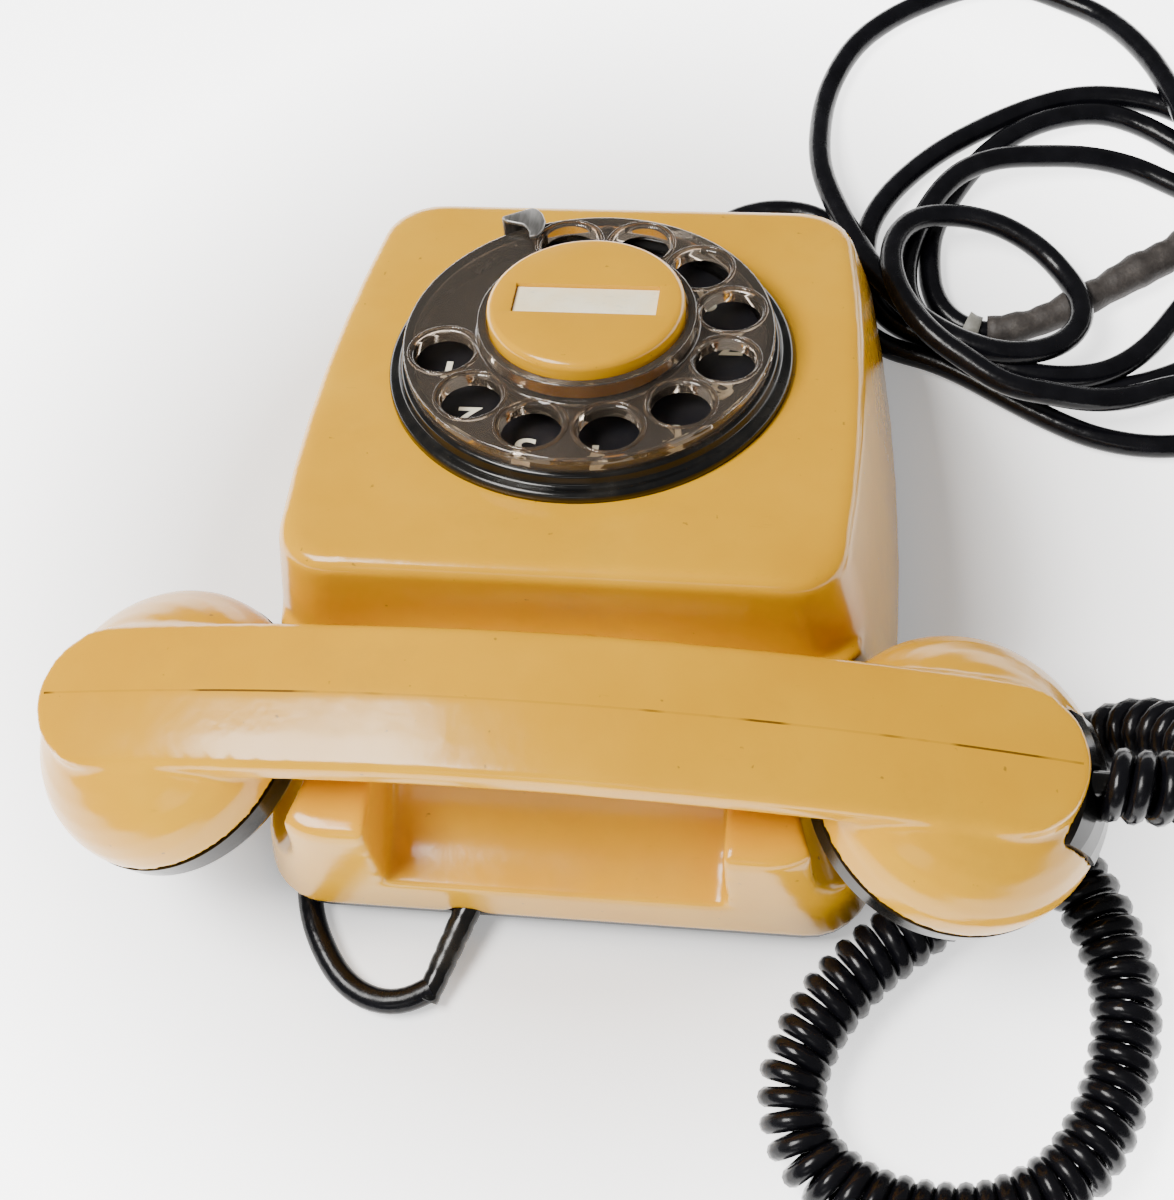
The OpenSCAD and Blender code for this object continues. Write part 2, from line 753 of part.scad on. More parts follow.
module hook_plungers() color([0.85, 0.83, 0.78]) {
    for (s = [-1, 1]) translate([s * plunger_x, handset_y, plunger_foot + hook_travel]) {
        linear_extrude(deck_z - plunger_foot - hook_travel - plunger_drop)
            square([plunger_w, plunger_l], center = true);
        linear_extrude(lip_t) square([plunger_w + 2 * plunger_lip, plunger_l], center = true);
    }
}

module hook_lever() color(STEEL) {
    tip = plunger_foot + hook_travel - plunger_drop - 0.1 - lever_z;
    tail_l = 10;
    translate([0, lever_y, lever_z]) difference() {
        union() {
            rotate([0, 90, 0])
                cylinder(r = tube_r, h = 2 * plunger_x + lever_w, center = true, $fn = 48);
            for (s = [-1, 1]) translate([s * plunger_x - lever_w / 2, 0, 0])
                rotate([90, 0, 90]) linear_extrude(lever_w) polygon([[0, -2],
                    [lever_arm + 2, tip - lever_t], [lever_arm + 2, tip],
                    [lever_arm - 2, tip], [0, 2]]);
            translate([-2, -tail_l, -1]) cube([4, tail_l, 2]);
        }
        rotate([0, 90, 0]) cylinder(r = pin_r + run_gap, h = BIG, center = true, $fn = 48);
    }
}

module hook_pin() color(STEEL) {
    pin_l = 2 * (plunger_x + cheek_gap + 2.5);
    translate([0, lever_y, lever_z]) rotate([0, 90, 0])
        cylinder(r = pin_r, h = pin_l, center = true, $fn = 48);
}

module hook_bracket() color(STEEL) {
    difference() {
        for (s = [-1, 1]) translate([s * (plunger_x + cheek_gap) - hook_cheek / 2,
                lever_y - cheek_l / 2, shell_z + EPS])
            cube([hook_cheek, cheek_l, lever_z - shell_z + cheek_l / 2]);
        translate([0, lever_y, lever_z]) rotate([0, 90, 0])
            cylinder(r = pin_r + EPS, h = BIG, center = true, $fn = 48);
    }
}

stack = [12, 5, 9];
stack_y = lever_y - 14;
leaf = [2.4, 0.4];
leaf_step = [3.4, 0.9];

// Three leaf contacts standing in their block, behind the lever's tail.
module hook_contacts() color(BRASS) {
    leaf_low = shell_z + stack[2] - 1;
    translate([-stack[0] / 2, stack_y, shell_z + EPS]) cube(stack);
    for (k = [0:2]) translate([1.5 - stack[0] / 2 + k * leaf_step[0],
            stack_y + 1.2 + k * leaf_step[1], leaf_low])
        cube([leaf[0], leaf[1], lever_z - 1.8 - leaf_low]);
}

// ---- Ringer --------------------------------------------------------------------------

ringer_y = 20;
gong_z = 24;
ringer_t = 1.6;
clapper_z = gong_z + 4;
clapper_y = -6;
frame_side = 8;
frame_front = 14;
frame_back = 6;
gong_post_r = 3;
gong_t = 1.4;
tap_r = 1.2;
coil_x = 11;
coil_y = clapper_y - 6;
pivot_r = 1.5;

module ringer_frame() color(STEEL) {
    translate([-gong_x - frame_side, clapper_y - frame_front, shell_z + EPS])
        cube([2 * (gong_x + frame_side), ringer_y - clapper_y + frame_front + frame_back, ringer_t]);
    for (s = [-1, 1]) translate([s * gong_x, ringer_y, shell_z + EPS]) difference() {
        cylinder(r = gong_post_r, h = gong_z + gong_h - gong_t - 0.1 - shell_z, $fn = 48);
        translate([0, 0, gong_z + gong_h - shell_z - 12]) cylinder(r = tap_r, h = 20, $fn = 32);
    }
    translate([0, clapper_y, shell_z])
        cylinder(r = pivot_r, h = clapper_z + 4 - shell_z, $fn = 48);
}

module ringer_coils() color([0.55, 0.25, 0.12]) {
    for (s = [-1, 1]) translate([s * coil_x, coil_y, shell_z + ringer_t + 2 * EPS])
        cylinder(r = coil_r, h = coil_l - 2.4, $fn = 48);
}

gong_bore = 1.6;

module ringer_gongs() color([0.80, 0.80, 0.78]) {
    for (s = [-1, 1]) translate([s * gong_x, ringer_y, gong_z]) difference() {
        rotate_extrude() polygon([[gong_r - 1.2, 0], [gong_r, 0], [gong_r - 0.6, gong_h * 0.55],
            [gong_r - 3.5, gong_h * 0.88], [gong_r - 8, gong_h], [gong_bore, gong_h],
            [gong_bore, gong_h - gong_t], [gong_r - 8.4, gong_h - gong_t],
            [gong_r - 4.6, gong_h * 0.82], [gong_r - 1.8, gong_h * 0.5]]);
    }
}

gong_head = 1.6;
gong_screw_l = 8;

module gong_screws() color(STEEL) {
    for (s = [-1, 1]) translate([s * gong_x, ringer_y, gong_z + gong_h]) {
        translate([0, 0, EPS]) cylinder(r = 2 * gong_bore, h = gong_head, $fn = 32);
        translate([0, 0, -gong_screw_l]) cylinder(r = tap_r - 0.05, h = gong_screw_l + 1, $fn = 32);
    }
}

rod_w = 2;
ball_r = 3.4;
armature = [34, 6, 2.4];

module ringer_clapper() color(STEEL) {
    reach = ringer_y - clapper_y;
    translate([0, clapper_y, clapper_z]) difference() {
        union() {
            cylinder(r = 2 * pivot_r, h = 2 * pivot_r, center = true, $fn = 48);
            translate([-rod_w / 2, 0, -rod_w / 2]) cube([rod_w, reach, rod_w]);
            translate([0, reach, 0]) sphere(ball_r, $fn = 32);
            translate([-armature[0] / 2, -armature[1] - 2, -armature[2] / 2]) cube(armature);
        }
        cylinder(r = pivot_r + run_gap, h = BIG, center = true, $fn = 48);
    }
}

// ---- Electrical parts ----------------------------------------------------------------

board_z = 14;
board_t = 1.6;
board_x = 38;
board_front = -82;
board_rear = -32;
board_posts = [[34, -78], [-34, -78], [34, -36], [-34, -36]];

module circuit_board() color([0.55, 0.38, 0.16]) {
    translate([-board_x, board_front, board_z + EPS])
        cube([2 * board_x, board_rear - board_front, board_t]);
}

core = [20, 16, 10];
winding = [14, 22, 7];
core_at = [-35, -64];

// A core of stamped sheets with its winding through the middle.
module speech_transformer() color([0.35, 0.35, 0.37]) {
    translate([core_at[0], core_at[1], board_z + board_t + 2 * EPS]) {
        cube(core);
        translate([(core[0] - winding[0]) / 2, (core[1] - winding[1]) / 2, 1]) cube(winding);
    }
}

capacitor = [26, 12, 9];
capacitor_at = [6, -66];

module line_capacitor() color([0.75, 0.70, 0.20]) {
    translate([capacitor_at[0], capacitor_at[1], board_z + board_t + 2 * EPS]) cube(capacitor);
}

terminals = [30, 12, 8];
terminals_at = [6, 58];
terminal_count = 4;
terminal_r = 1.4;
terminal_depth = 5;

module terminal_block() color([0.85, 0.83, 0.76]) {
    pitch = terminals[0] / terminal_count;
    translate([terminals_at[0], terminals_at[1], shell_z + EPS]) difference() {
        cube(terminals);
        for (k = [0:terminal_count - 1])
            translate([(k + 0.5) * pitch, terminals[1] / 2, terminals[2] - terminal_depth])
                cylinder(r = terminal_r, h = terminal_depth + 1, $fn = 24);
    }
}

// ---- Handset -------------------------------------------------------------------------

half_w = handset_w / 2;
under_r = back_r - handle_t;
rest_x = pocket_in + 1;
arch_z = deck_z + EPS - sqrt(under_r * under_r - rest_x * rest_x);

// Places its children as the handset lies: turned a little about its middle.
module laid() {
    translate([0, handset_y, 0]) rotate([0, 0, -handset_turn]) translate([0, -handset_y, 0])
        children();
}
function lay(x, z) = [x * cos(handset_turn), handset_y - x * sin(handset_turn), z];

back_crown = 0.7;
cup_sink = 1;

// The handle: its section swept along the arch of the back, ended by round corners.
module handle_form() {
    section = [[0, half_w * 0.6], [-0.6, half_w * 0.9], [-1.8, half_w], [-handle_t * 0.32, half_w],
        [-handle_t * 0.6, half_w * 0.82], [3 - handle_t, half_w * 0.6], [-handle_t, half_w * 0.4]];
    reach = asin(handset_l / 2 / under_r) + 1;
    intersection() {
        translate([0, handset_y, arch_z]) rotate([0, 0, -90]) rotate([0, -90, 0])
            rotate([0, 0, -reach]) rotate_extrude(angle = 2 * reach, $fn = 720)
                polygon(concat([[back_r + back_crown, 0]],
                    [for (p = section) [back_r + p[0], p[1]]],
                    [for (i = [len(section) - 1:-1:0])
                        [back_r + section[i][0], -section[i][1]]]));
        translate([0, handset_y, 0]) linear_extrude(BIG) union() {
            square([handset_l - handset_w, handset_w - 2 * EPS], center = true);
            for (s = [-1, 1]) translate([s * (handset_l / 2 - half_w), 0])
                circle(half_w - EPS, $fn = 96);
        }
    }
}

// Places its children in a cup's own frame: origin at the rim centre, +Z to the crown.
module at_cup(side) {
    translate([side * cup_x, handset_y, cup_z]) rotate([0, side * cup_tilt, 0]) children();
}

// A domed form on the rim circle, its lower edge at a given height.
skirt = 2.5;
crown_wall = handset_wall + 4.2;
module dome(r, h, low) {
    rotate_extrude($fn = 96) polygon(concat([[0, low], [r, low]],
        [for (a = [0:10:80]) [r * cos(a), skirt + (h - skirt) * sin(a)]], [[0, h]]));
}

// The inside of a cup; it stops below the handle's back.
module cup_hollow(side) {
    at_cup(side) dome(cup_r - handset_wall, cup_depth - crown_wall, -1);
}

// Both cups' outsides, grown by a given amount and kept below the arch of the back.
module cup_forms(grow) {
    intersection() {
        for (s = [-1, 1]) at_cup(s) dome(cup_r + grow, cup_depth + grow, 0);
        translate([0, handset_y, arch_z]) rotate([90, 0, 0])
            cylinder(r = back_r - cup_sink, h = 3 * cup_r, center = true, $fn = 720);
    }
}

gland_w = 29;
gland_top = 54;
gland_low = 41;
gland_in = cup_x + cup_r - 12;
gland_out = cup_x + cup_r + 1;
gland_z = 50;
gland_proud = 0.6;
lead_r = 3;

module gland_zone(gap) {
    translate([-gland_out, handset_y - gland_w / 2 + gap, gland_low + gap])
        cube([gland_out - gland_in - gap, gland_w - 2 * gap, gland_top - gland_low - 2 * gap]);
}

module handset_body() color(TAN) laid() {
    difference() {
        union() {
            handle_form();
            cup_forms(0);
        }
        for (s = [-1, 1]) {
            cup_hollow(s);
            at_cup(s) translate([0, 0, -2 * ear_h])
                cylinder(r = cup_r + seat_gap, h = 2 * ear_h, $fn = 96);
        }
        gland_zone(0);
    }
}

module handset_gland() color(BLACK) laid() {
    difference() {
        union() {
            intersection() {
                gland_zone(EPS);
                cup_forms(gland_proud);
            }
            bar([-gland_in - lead_r, handset_y, gland_z], [-gland_out, handset_y, gland_z], lead_r);
        }
        cup_hollow(-1);
    }
}

cap_face = 2;
cap_neck_h = 2.2;
cap_neck_r = cup_r - handset_wall - seat_gap;
cap_neck_t = 1.6;
cap_hole_r = 1;
cap_holes = [[1, 0], [6, 6], [12, 12]];

// A black cap: a shallow cup with a neck that goes up inside the handset.
module cup_cap(side) color(BLACK) laid() at_cup(side) {
    difference() {
        rotate_extrude($fn = 96) polygon([[0, -ear_h], [cup_r - 5, -ear_h],
            [cup_r - 2.2, 1.2 - ear_h], [cup_r - 0.5, 3.6 - ear_h], [cup_r, -0.3],
            [cap_neck_r, -0.3], [cap_neck_r, cap_neck_h], [cap_neck_r - cap_neck_t, cap_neck_h],
            [cap_neck_r - cap_neck_t, 2 * cap_face - ear_h], [cup_r - 8, cap_face - ear_h],
            [0, cap_face - ear_h]]);
        for (ring = cap_holes) for (k = [1:ring[0]]) rotate([0, 0, k * 360 / ring[0]])
            translate([ring[1], 0, -ear_h - 1])
                cylinder(r = cap_hole_r, h = 2 * cap_face + 1, $fn = 24);
    }
}

// A sealed capsule: a wide can on a narrower neck that faces the cap.
module capsule(side) color([0.62, 0.62, 0.60]) laid() at_cup(side) {
    can_r = 0.75 * (cup_r - handset_wall);
    neck = 3;
    translate([0, 0, 1 - neck]) cylinder(r = can_r - neck, h = neck, $fn = 64);
    translate([0, 0, 1 - EPS]) cylinder(r = can_r, h = cup_depth * 0.28, $fn = 64);
}

module ear_cap() cup_cap(1);
module mouth_cap() cup_cap(-1);
module ear_capsule() capsule(1);
module mouth_capsule() capsule(-1);

// ---- Cords ---------------------------------------------------------------------------

// Lies on the table from the sleeve, back under the telephone and out at the front.
line_route = [[28.6, 104, 3.6], [34, 107.5, 2.8], [42, 108, 2.7], [49, 104.5, 2.7],
    [54.5, 98, 2.7], [58.5, 90, 2.7], [61, 80, 2.7], [60, 66, 2.7], [57, 52, 2.7],
    [52, 38, 2.7], [46, 24, 2.7], [39, 10, 2.7], [32, -4, 2.7], [25, -18, 2.7],
    [18, -32, 2.7], [11, -46, 2.7], [4, -60, 2.7], [-3, -74, 2.7], [-10, -88, 2.7],
    [-17, -100, 2.7], [-26, -108, 2.7], [-37, -111, 2.7], [-47, -110, 2.7]];
bundle_at = [-117, -117];
bundle_in = 0.3;
plug_l = 34;
plug_h = 17;
plug_at = [-161, -28, 0.2];
plug_slope = 8;
pin_pitch = [14, 7];
pin_low = 5.2;
pin_radius = 1.6;
pin_out = 14;
tail_route = [for (p = [[6, -30, 2.5], [2, -20, 2.5], [0, -11, 3.4], [0, -5, 5.3],
    [0, -5 * EPS, 5.3]]) plug_at + p];
// From the grommet out under the mouth cup, round a ring on the table and up to the handset.
curly_route = [[-79, 46, 12], [-87, 48, 9.5], [-93, 56, 7.7], [-93, 67, 7.7], [-87, 76, 7.7],
    [-78, 84, 7.7], [-67, 94, 7.7], [-58, 107, 7.7], [-54, 121, 7.7], [-58, 134, 7.7],
    [-69, 142, 7.7], [-84, 145, 7.7], [-99, 143, 7.7], [-112, 135, 7.7], [-120, 122, 7.7],
    [-124, 107, 7.7], [-124, 92, 7.7], [-119, 78, 7.7], [-112, 66, 7.7], [-109, 53, 8.5],
    [-114, 42, 12], [-124, 39, 20], [-133, 43, 30], [-138, 50, 39], [-138, 57, 46],
    lay(-gland_out - 10, gland_z), lay(-gland_out - 5 * EPS, gland_z)];

function unit(v) = v / norm(v);
function heading(p, i) = unit(p[min(i + 1, len(p) - 1)] - p[max(i - 1, 0)]);
function ring_at(p, i, r, n) =
    let (d = heading(p, i), side = unit(cross(d, [0, 0, 1])), up = cross(side, d))
    [for (k = [0:n - 1]) p[i] + r * (cos(k * 360 / n) * side + sin(k * 360 / n) * up)];

module tube(p, d, n) {
    last = (len(p) - 1) * n;
    polyhedron([for (i = [0:len(p) - 1]) each ring_at(p, i, d / 2, n)],
        concat([[for (k = [0:n - 1]) k]], [[for (k = [n - 1:-1:0]) last + k]],
            [for (i = [0:len(p) - 2]) for (k = [0:n - 1])
                [i * n + (k + 1) % n, i * n + k, (i + 1) * n + k, (i + 1) * n + (k + 1) % n]]));
}

module line_sleeve() color(BLACK) bar(sleeve_from, sleeve_to, sleeve_d / 2);

module line_cord() color(BLACK) tube(line_route, line_d, 8);

// The loose bundle's outer shape; it lies against the corner of the foot.
module line_bundle() color(BLACK) {
    difference() {
        translate([bundle_at[0], bundle_at[1], 0]) rotate_extrude($fn = 96)
            translate([bundle_r * bundle_in, 0]) square([bundle_r * (1 - bundle_in), bundle_h]);
        translate([0, 0, -1]) linear_extrude(BIG)
            outline(base_w + 3, base_front + 1.5, base_rear, base_corner);
    }
}

module line_tail() color(BLACK) tube(tail_route, line_d, 8);

module line_plug() color(BLACK) {
    translate(plug_at - [plug_w / 2, 0, 0]) difference() {
        cube([plug_w, plug_l, plug_h]);
        translate([-1, -1, plug_h - 2]) rotate([-plug_slope, 0, 0])
            cube([plug_w + 2, plug_l / 2, plug_h / 2]);
    }
}

module plug_pins() color(BRASS) {
    for (x = [-1, 1], k = [0, 1])
        translate([plug_at[0] + x * pin_pitch[0] / 2, plug_at[1] + plug_l + EPS, pin_low + k * pin_pitch[1]])
            rotate([-90, 0, 0]) cylinder(r = pin_radius, h = pin_out, $fn = 32);
}

module base_gland() color(BLACK) {
    bar(curly_exit + [grommet_in, 0, 0], curly_exit - [grommet_out, 0, 0], grommet_r - EPS);
}

module curly_cord() color(BLACK) tube(curly_route, curly_d, 12);

base_plate();
rubber_feet();
housing_shell();
housing_screws();
dial_bezel();
dial_screws();
number_plate();
dial_frame();
finger_stop();
finger_wheel();
dial_cap();
dial_card();
main_shaft();
main_gear();
return_spring();
spring_barrel();
works_bridge();
pulse_shaft();
pulse_cam();
pulse_contacts();
governor_shaft();
governor_weights();
governor_cup();
hook_plungers();
hook_lever();
hook_pin();
hook_bracket();
hook_contacts();
ringer_frame();
ringer_coils();
ringer_gongs();
gong_screws();
ringer_clapper();
circuit_board();
speech_transformer();
line_capacitor();
terminal_block();
handset_body();
ear_cap();
mouth_cap();
ear_capsule();
mouth_capsule();
handset_gland();
base_gland();
line_sleeve();
line_cord();
line_bundle();
line_tail();
line_plug();
plug_pins();
curly_cord();
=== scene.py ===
"""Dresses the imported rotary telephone: skins, a clear finger wheel, digits, cords, materials and light."""
import json
import math

import bmesh
import bpy
import numpy as np
from mathutils import Matrix, Vector


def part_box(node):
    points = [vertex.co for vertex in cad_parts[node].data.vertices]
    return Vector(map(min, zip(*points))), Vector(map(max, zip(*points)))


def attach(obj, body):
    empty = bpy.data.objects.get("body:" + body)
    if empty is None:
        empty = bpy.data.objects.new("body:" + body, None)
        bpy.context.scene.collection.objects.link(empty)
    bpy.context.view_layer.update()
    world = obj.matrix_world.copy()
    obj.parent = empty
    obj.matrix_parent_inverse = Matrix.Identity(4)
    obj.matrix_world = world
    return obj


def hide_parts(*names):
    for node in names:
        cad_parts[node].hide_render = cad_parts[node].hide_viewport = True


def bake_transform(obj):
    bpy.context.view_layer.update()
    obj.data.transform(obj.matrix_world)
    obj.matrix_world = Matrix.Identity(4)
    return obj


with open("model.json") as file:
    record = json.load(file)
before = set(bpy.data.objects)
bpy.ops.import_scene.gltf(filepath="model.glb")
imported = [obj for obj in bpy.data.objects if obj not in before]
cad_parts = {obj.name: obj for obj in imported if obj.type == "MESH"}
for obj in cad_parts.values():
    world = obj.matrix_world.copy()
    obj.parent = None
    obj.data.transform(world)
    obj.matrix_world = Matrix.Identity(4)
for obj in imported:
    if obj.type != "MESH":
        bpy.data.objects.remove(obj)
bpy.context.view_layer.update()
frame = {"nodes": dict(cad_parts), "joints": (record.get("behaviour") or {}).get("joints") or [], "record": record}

NODES = frame["nodes"]
RECORD = frame["record"]
MM = 0.001
BASE = "phone_base"
DIAL = "dial"
HANDSET = "handset"
HANDSET_Y = 61.0
HANDSET_SKEW = 0.0105
SEAM_HALF = 0.24
SEAM_ABOVE = 62.0

# The dial's own frame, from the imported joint: origin on the sloping face, +Z along the axis.
DIAL_JOINT = next(j for j in frame["joints"] if j["name"] == "dial_turn")
DIAL_N = Vector(DIAL_JOINT["axis"]).normalized()
DIAL_UP = Vector((0, DIAL_N.z, -DIAL_N.y))
DIAL_AT = Matrix.Translation(Vector(DIAL_JOINT["pos_m"])) @ Matrix(
    ((1, DIAL_UP.x, DIAL_N.x, 0), (0, DIAL_UP.y, DIAL_N.y, 0), (0, DIAL_UP.z, DIAL_N.z, 0), (0, 0, 0, 1)))

scene = bpy.context.scene


# ---- Camera --------------------------------------------------------------------------

def make_camera():
    """Stands where the photographer stood: behind the telephone, above its mouth end, looking down."""
    right = Vector((-0.98936, -0.10067, -0.10504))
    down = Vector((-0.04861, 0.90921, -0.41348))
    ahead = Vector((0.13713, -0.40397, -0.90443))
    data = bpy.data.cameras.new("camera")
    data.lens = 60
    data.sensor_width = 36
    data.clip_start = 0.01
    camera = bpy.data.objects.new("camera", data)
    scene.collection.objects.link(camera)
    turn = Matrix((right, -down, -ahead)).transposed().to_4x4()
    camera.matrix_world = Matrix.Translation((-0.0643, 0.2037, 0.4470)) @ turn
    scene.camera = camera


make_camera()


# ---- Materials -----------------------------------------------------------------------

def tree_of(name):
    """A new node material, its tree and its one shader."""
    material = bpy.data.materials.new(name)
    material.use_nodes = True
    return material, material.node_tree, material.node_tree.nodes["Principled BSDF"]


def place(tree):
    """The spot being shaded, in the object's own coordinates."""
    return tree.nodes.new("ShaderNodeTexCoord").outputs["Object"]


def noise(tree, where, scale, detail=3.0, rough=0.5, stretch=None):
    """Noise at the given spot, drawn out along an axis where asked."""
    if stretch:
        mapping = tree.nodes.new("ShaderNodeMapping")
        mapping.inputs["Scale"].default_value = stretch
        tree.links.new(where, mapping.inputs["Vector"])
        where = mapping.outputs["Vector"]
    node = tree.nodes.new("ShaderNodeTexNoise")
    node.inputs["Scale"].default_value = scale
    node.inputs["Detail"].default_value = detail
    node.inputs["Roughness"].default_value = rough
    tree.links.new(where, node.inputs["Vector"])
    return node.outputs["Fac"]


def ramp(tree, fac, stops):
    """Colours for a rising factor, from (position, colour) stops."""
    node = tree.nodes.new("ShaderNodeValToRGB")
    elements = node.color_ramp.elements
    while len(elements) < len(stops):
        elements.new(0.5)
    for element, (at, colour) in zip(elements, stops):
        element.position = at
        element.color = (*colour, 1) if len(colour) == 3 else colour
    tree.links.new(fac, node.inputs["Fac"])
    return node.outputs["Color"]


def grey(value):
    """A neutral colour of one brightness."""
    return (value, value, value)


def mixed(tree, fac, a, b, mode="MIX"):
    """One colour laid over another by a factor; each may be a value or a socket."""
    node = tree.nodes.new("ShaderNodeMix")
    node.data_type = "RGBA"
    node.blend_type = mode
    for value, socket in ((fac, node.inputs["Factor"]), (a, node.inputs[6]), (b, node.inputs[7])):
        if isinstance(value, bpy.types.NodeSocket):
            tree.links.new(value, socket)
        elif isinstance(value, (int, float)):
            socket.default_value = value
        else:
            socket.default_value = (*value, 1)
    return node.outputs[2]


def maths(tree, operation, *values):
    """One sum worked out by a node; each value may be a number or a socket."""
    node = tree.nodes.new("ShaderNodeMath")
    node.operation = operation
    for value, socket in zip(values, node.inputs):
        if isinstance(value, bpy.types.NodeSocket):
            tree.links.new(value, socket)
        else:
            socket.default_value = value
    return node.outputs[0]


def product(tree, a, b):
    """Two factors multiplied."""
    return maths(tree, "MULTIPLY", a, b)


def seam_mask(tree, where):
    """One along the handset's moulding line, darkening it in dashes and only faintly between them."""
    split = tree.nodes.new("ShaderNodeSeparateXYZ")
    tree.links.new(where, split.inputs[0])
    x, y, z = split.outputs
    off = maths(tree, "ADD", maths(tree, "MULTIPLY_ADD", x, HANDSET_SKEW, y), -HANDSET_Y * MM)
    on_line = maths(tree, "LESS_THAN", maths(tree, "ABSOLUTE", off), SEAM_HALF * MM)
    on_top = maths(tree, "GREATER_THAN", z, SEAM_ABOVE * MM)
    dashes = ramp(tree, noise(tree, where, 26, 3, 0.6, (1.0, 0.02, 0.02)),
                  [(0.50, grey(0.14)), (0.56, grey(0.85))])
    return product(tree, product(tree, on_line, on_top), dashes)


def bump(tree, shader, height, strength, distance):
    """Roughens the shader's surface by a height, with the depth in metres."""
    node = tree.nodes.new("ShaderNodeBump")
    node.inputs["Strength"].default_value = strength
    node.inputs["Distance"].default_value = distance
    tree.links.new(height, node.inputs["Height"])
    tree.links.new(node.outputs["Normal"], shader.inputs["Normal"])


def tan_plastic(name, seam=False):
    """Aged glossy moulding: faded blotches, specks, scuffs and grime, and a moulding line where asked."""
    material, tree, shader = tree_of(name)
    shader.inputs["Specular IOR Level"].default_value = 0.36
    where = place(tree)
    fade = noise(tree, where, 14, 4, 0.6)
    base = ramp(tree, fade, [(0.30, (0.60, 0.285, 0.002)), (0.52, (0.67, 0.330, 0.004)),
                             (0.72, (0.73, 0.385, 0.014))])
    grime = ramp(tree, noise(tree, where, 45, 6, 0.7), [(0.55, grey(0.0)), (0.78, grey(1.0))])
    base = mixed(tree, product(tree, grime, 0.16), base, (0.33, 0.17, 0.02))
    specks = ramp(tree, noise(tree, where, 420, 2, 0.5), [(0.74, grey(0.0)), (0.79, grey(1.0))])
    base = mixed(tree, product(tree, specks, 0.55), base, (0.10, 0.055, 0.02))
    scuffs = ramp(tree, noise(tree, where, 60, 8, 0.75, (1.0, 6.0, 1.0)),
                  [(0.66, grey(0.0)), (0.74, grey(1.0))])
    base = mixed(tree, product(tree, scuffs, 0.22), base, (0.16, 0.09, 0.035))
    if seam:
        base = mixed(tree, seam_mask(tree, where), base, (0.05, 0.018, 0.004))
    tree.links.new(base, shader.inputs["Base Color"])
    tree.links.new(ramp(tree, noise(tree, where, 90, 5, 0.6), [(0.3, grey(0.13)), (0.75, grey(0.22))]),
                   shader.inputs["Roughness"])
    shader.inputs["IOR"].default_value = 1.5
    shader.inputs["Subsurface Weight"].default_value = 0.04
    shader.inputs["Subsurface Scale"].default_value = 0.003
    bump(tree, shader, noise(tree, where, 260, 3, 0.5), 0.12, 0.0004)
    return material


def black_plastic(name, dust, low, high):
    """Glossy black moulding with a thin uneven film of dust."""
    material, tree, shader = tree_of(name)
    shader.inputs["Specular IOR Level"].default_value = 0.35
    where = place(tree)
    film = ramp(tree, noise(tree, where, 70, 6, 0.65), [(0.42, grey(0.0)), (0.75, grey(1.0))])
    tree.links.new(mixed(tree, product(tree, film, dust), (0.004, 0.004, 0.004), (0.09, 0.075, 0.055)),
                   shader.inputs["Base Color"])
    tree.links.new(ramp(tree, film, [(0.0, grey(low)), (1.0, grey(high))]), shader.inputs["Roughness"])
    bump(tree, shader, noise(tree, where, 600, 3, 0.5), 0.10, 0.0002)
    return material


def cord_black():
    """Glossy black cord covering, faintly uneven along its length."""
    material, tree, shader = tree_of("cord_black")
    shader.inputs["Specular IOR Level"].default_value = 0.22
    where = place(tree)
    colour = ramp(tree, noise(tree, where, 160, 4, 0.6),
                  [(0.35, (0.002, 0.002, 0.003)), (0.8, (0.006, 0.006, 0.008))])
    tree.links.new(colour, shader.inputs["Base Color"])
    tree.links.new(ramp(tree, noise(tree, where, 220, 4, 0.6), [(0.3, grey(0.16)), (0.8, grey(0.34))]),
                   shader.inputs["Roughness"])
    bump(tree, shader, noise(tree, where, 330, 2, 0.5), 0.22, 0.0006)
    return material


def tape_grey():
    """Dull cloth tape, greyed and creased across its wraps."""
    material, tree, shader = tree_of("tape_grey")
    where = place(tree)
    colour = ramp(tree, noise(tree, where, 240, 6, 0.7),
                  [(0.3, (0.020, 0.016, 0.014)), (0.55, (0.045, 0.038, 0.034)), (0.8, (0.10, 0.088, 0.078))])
    tree.links.new(colour, shader.inputs["Base Color"])
    shader.inputs["Roughness"].default_value = 0.62
    bump(tree, shader, noise(tree, where, 500, 5, 0.6), 0.5, 0.0006)
    return material


def pale_band():
    """The band of paler tape at the start of the wrapping."""
    material, tree, shader = tree_of("pale_band")
    where = place(tree)
    colour = ramp(tree, noise(tree, where, 300, 4, 0.6),
                  [(0.3, (0.20, 0.195, 0.17)), (0.75, (0.36, 0.35, 0.31))])
    tree.links.new(colour, shader.inputs["Base Color"])
    shader.inputs["Roughness"].default_value = 0.55
    bump(tree, shader, noise(tree, where, 600, 4, 0.6), 0.3, 0.0004)
    return material


def smoky_clear():
    """Clear plastic gone brown with age: mostly see-through, with a hazy film."""
    material, tree, shader = tree_of("smoky_clear")
    where = place(tree)
    haze = ramp(tree, noise(tree, where, 60, 6, 0.65), [(0.35, grey(0.0)), (0.75, grey(1.0))])
    colour = mixed(tree, product(tree, haze, 0.5), (0.66, 0.55, 0.44), (0.50, 0.42, 0.34))
    tree.links.new(colour, shader.inputs["Base Color"])
    tree.links.new(ramp(tree, haze, [(0.0, grey(0.04)), (1.0, grey(0.12))]), shader.inputs["Roughness"])
    shader.inputs["Transmission Weight"].default_value = 0.96
    shader.inputs["IOR"].default_value = 1.40
    bump(tree, shader, noise(tree, where, 350, 3, 0.5), 0.06, 0.0003)
    return material


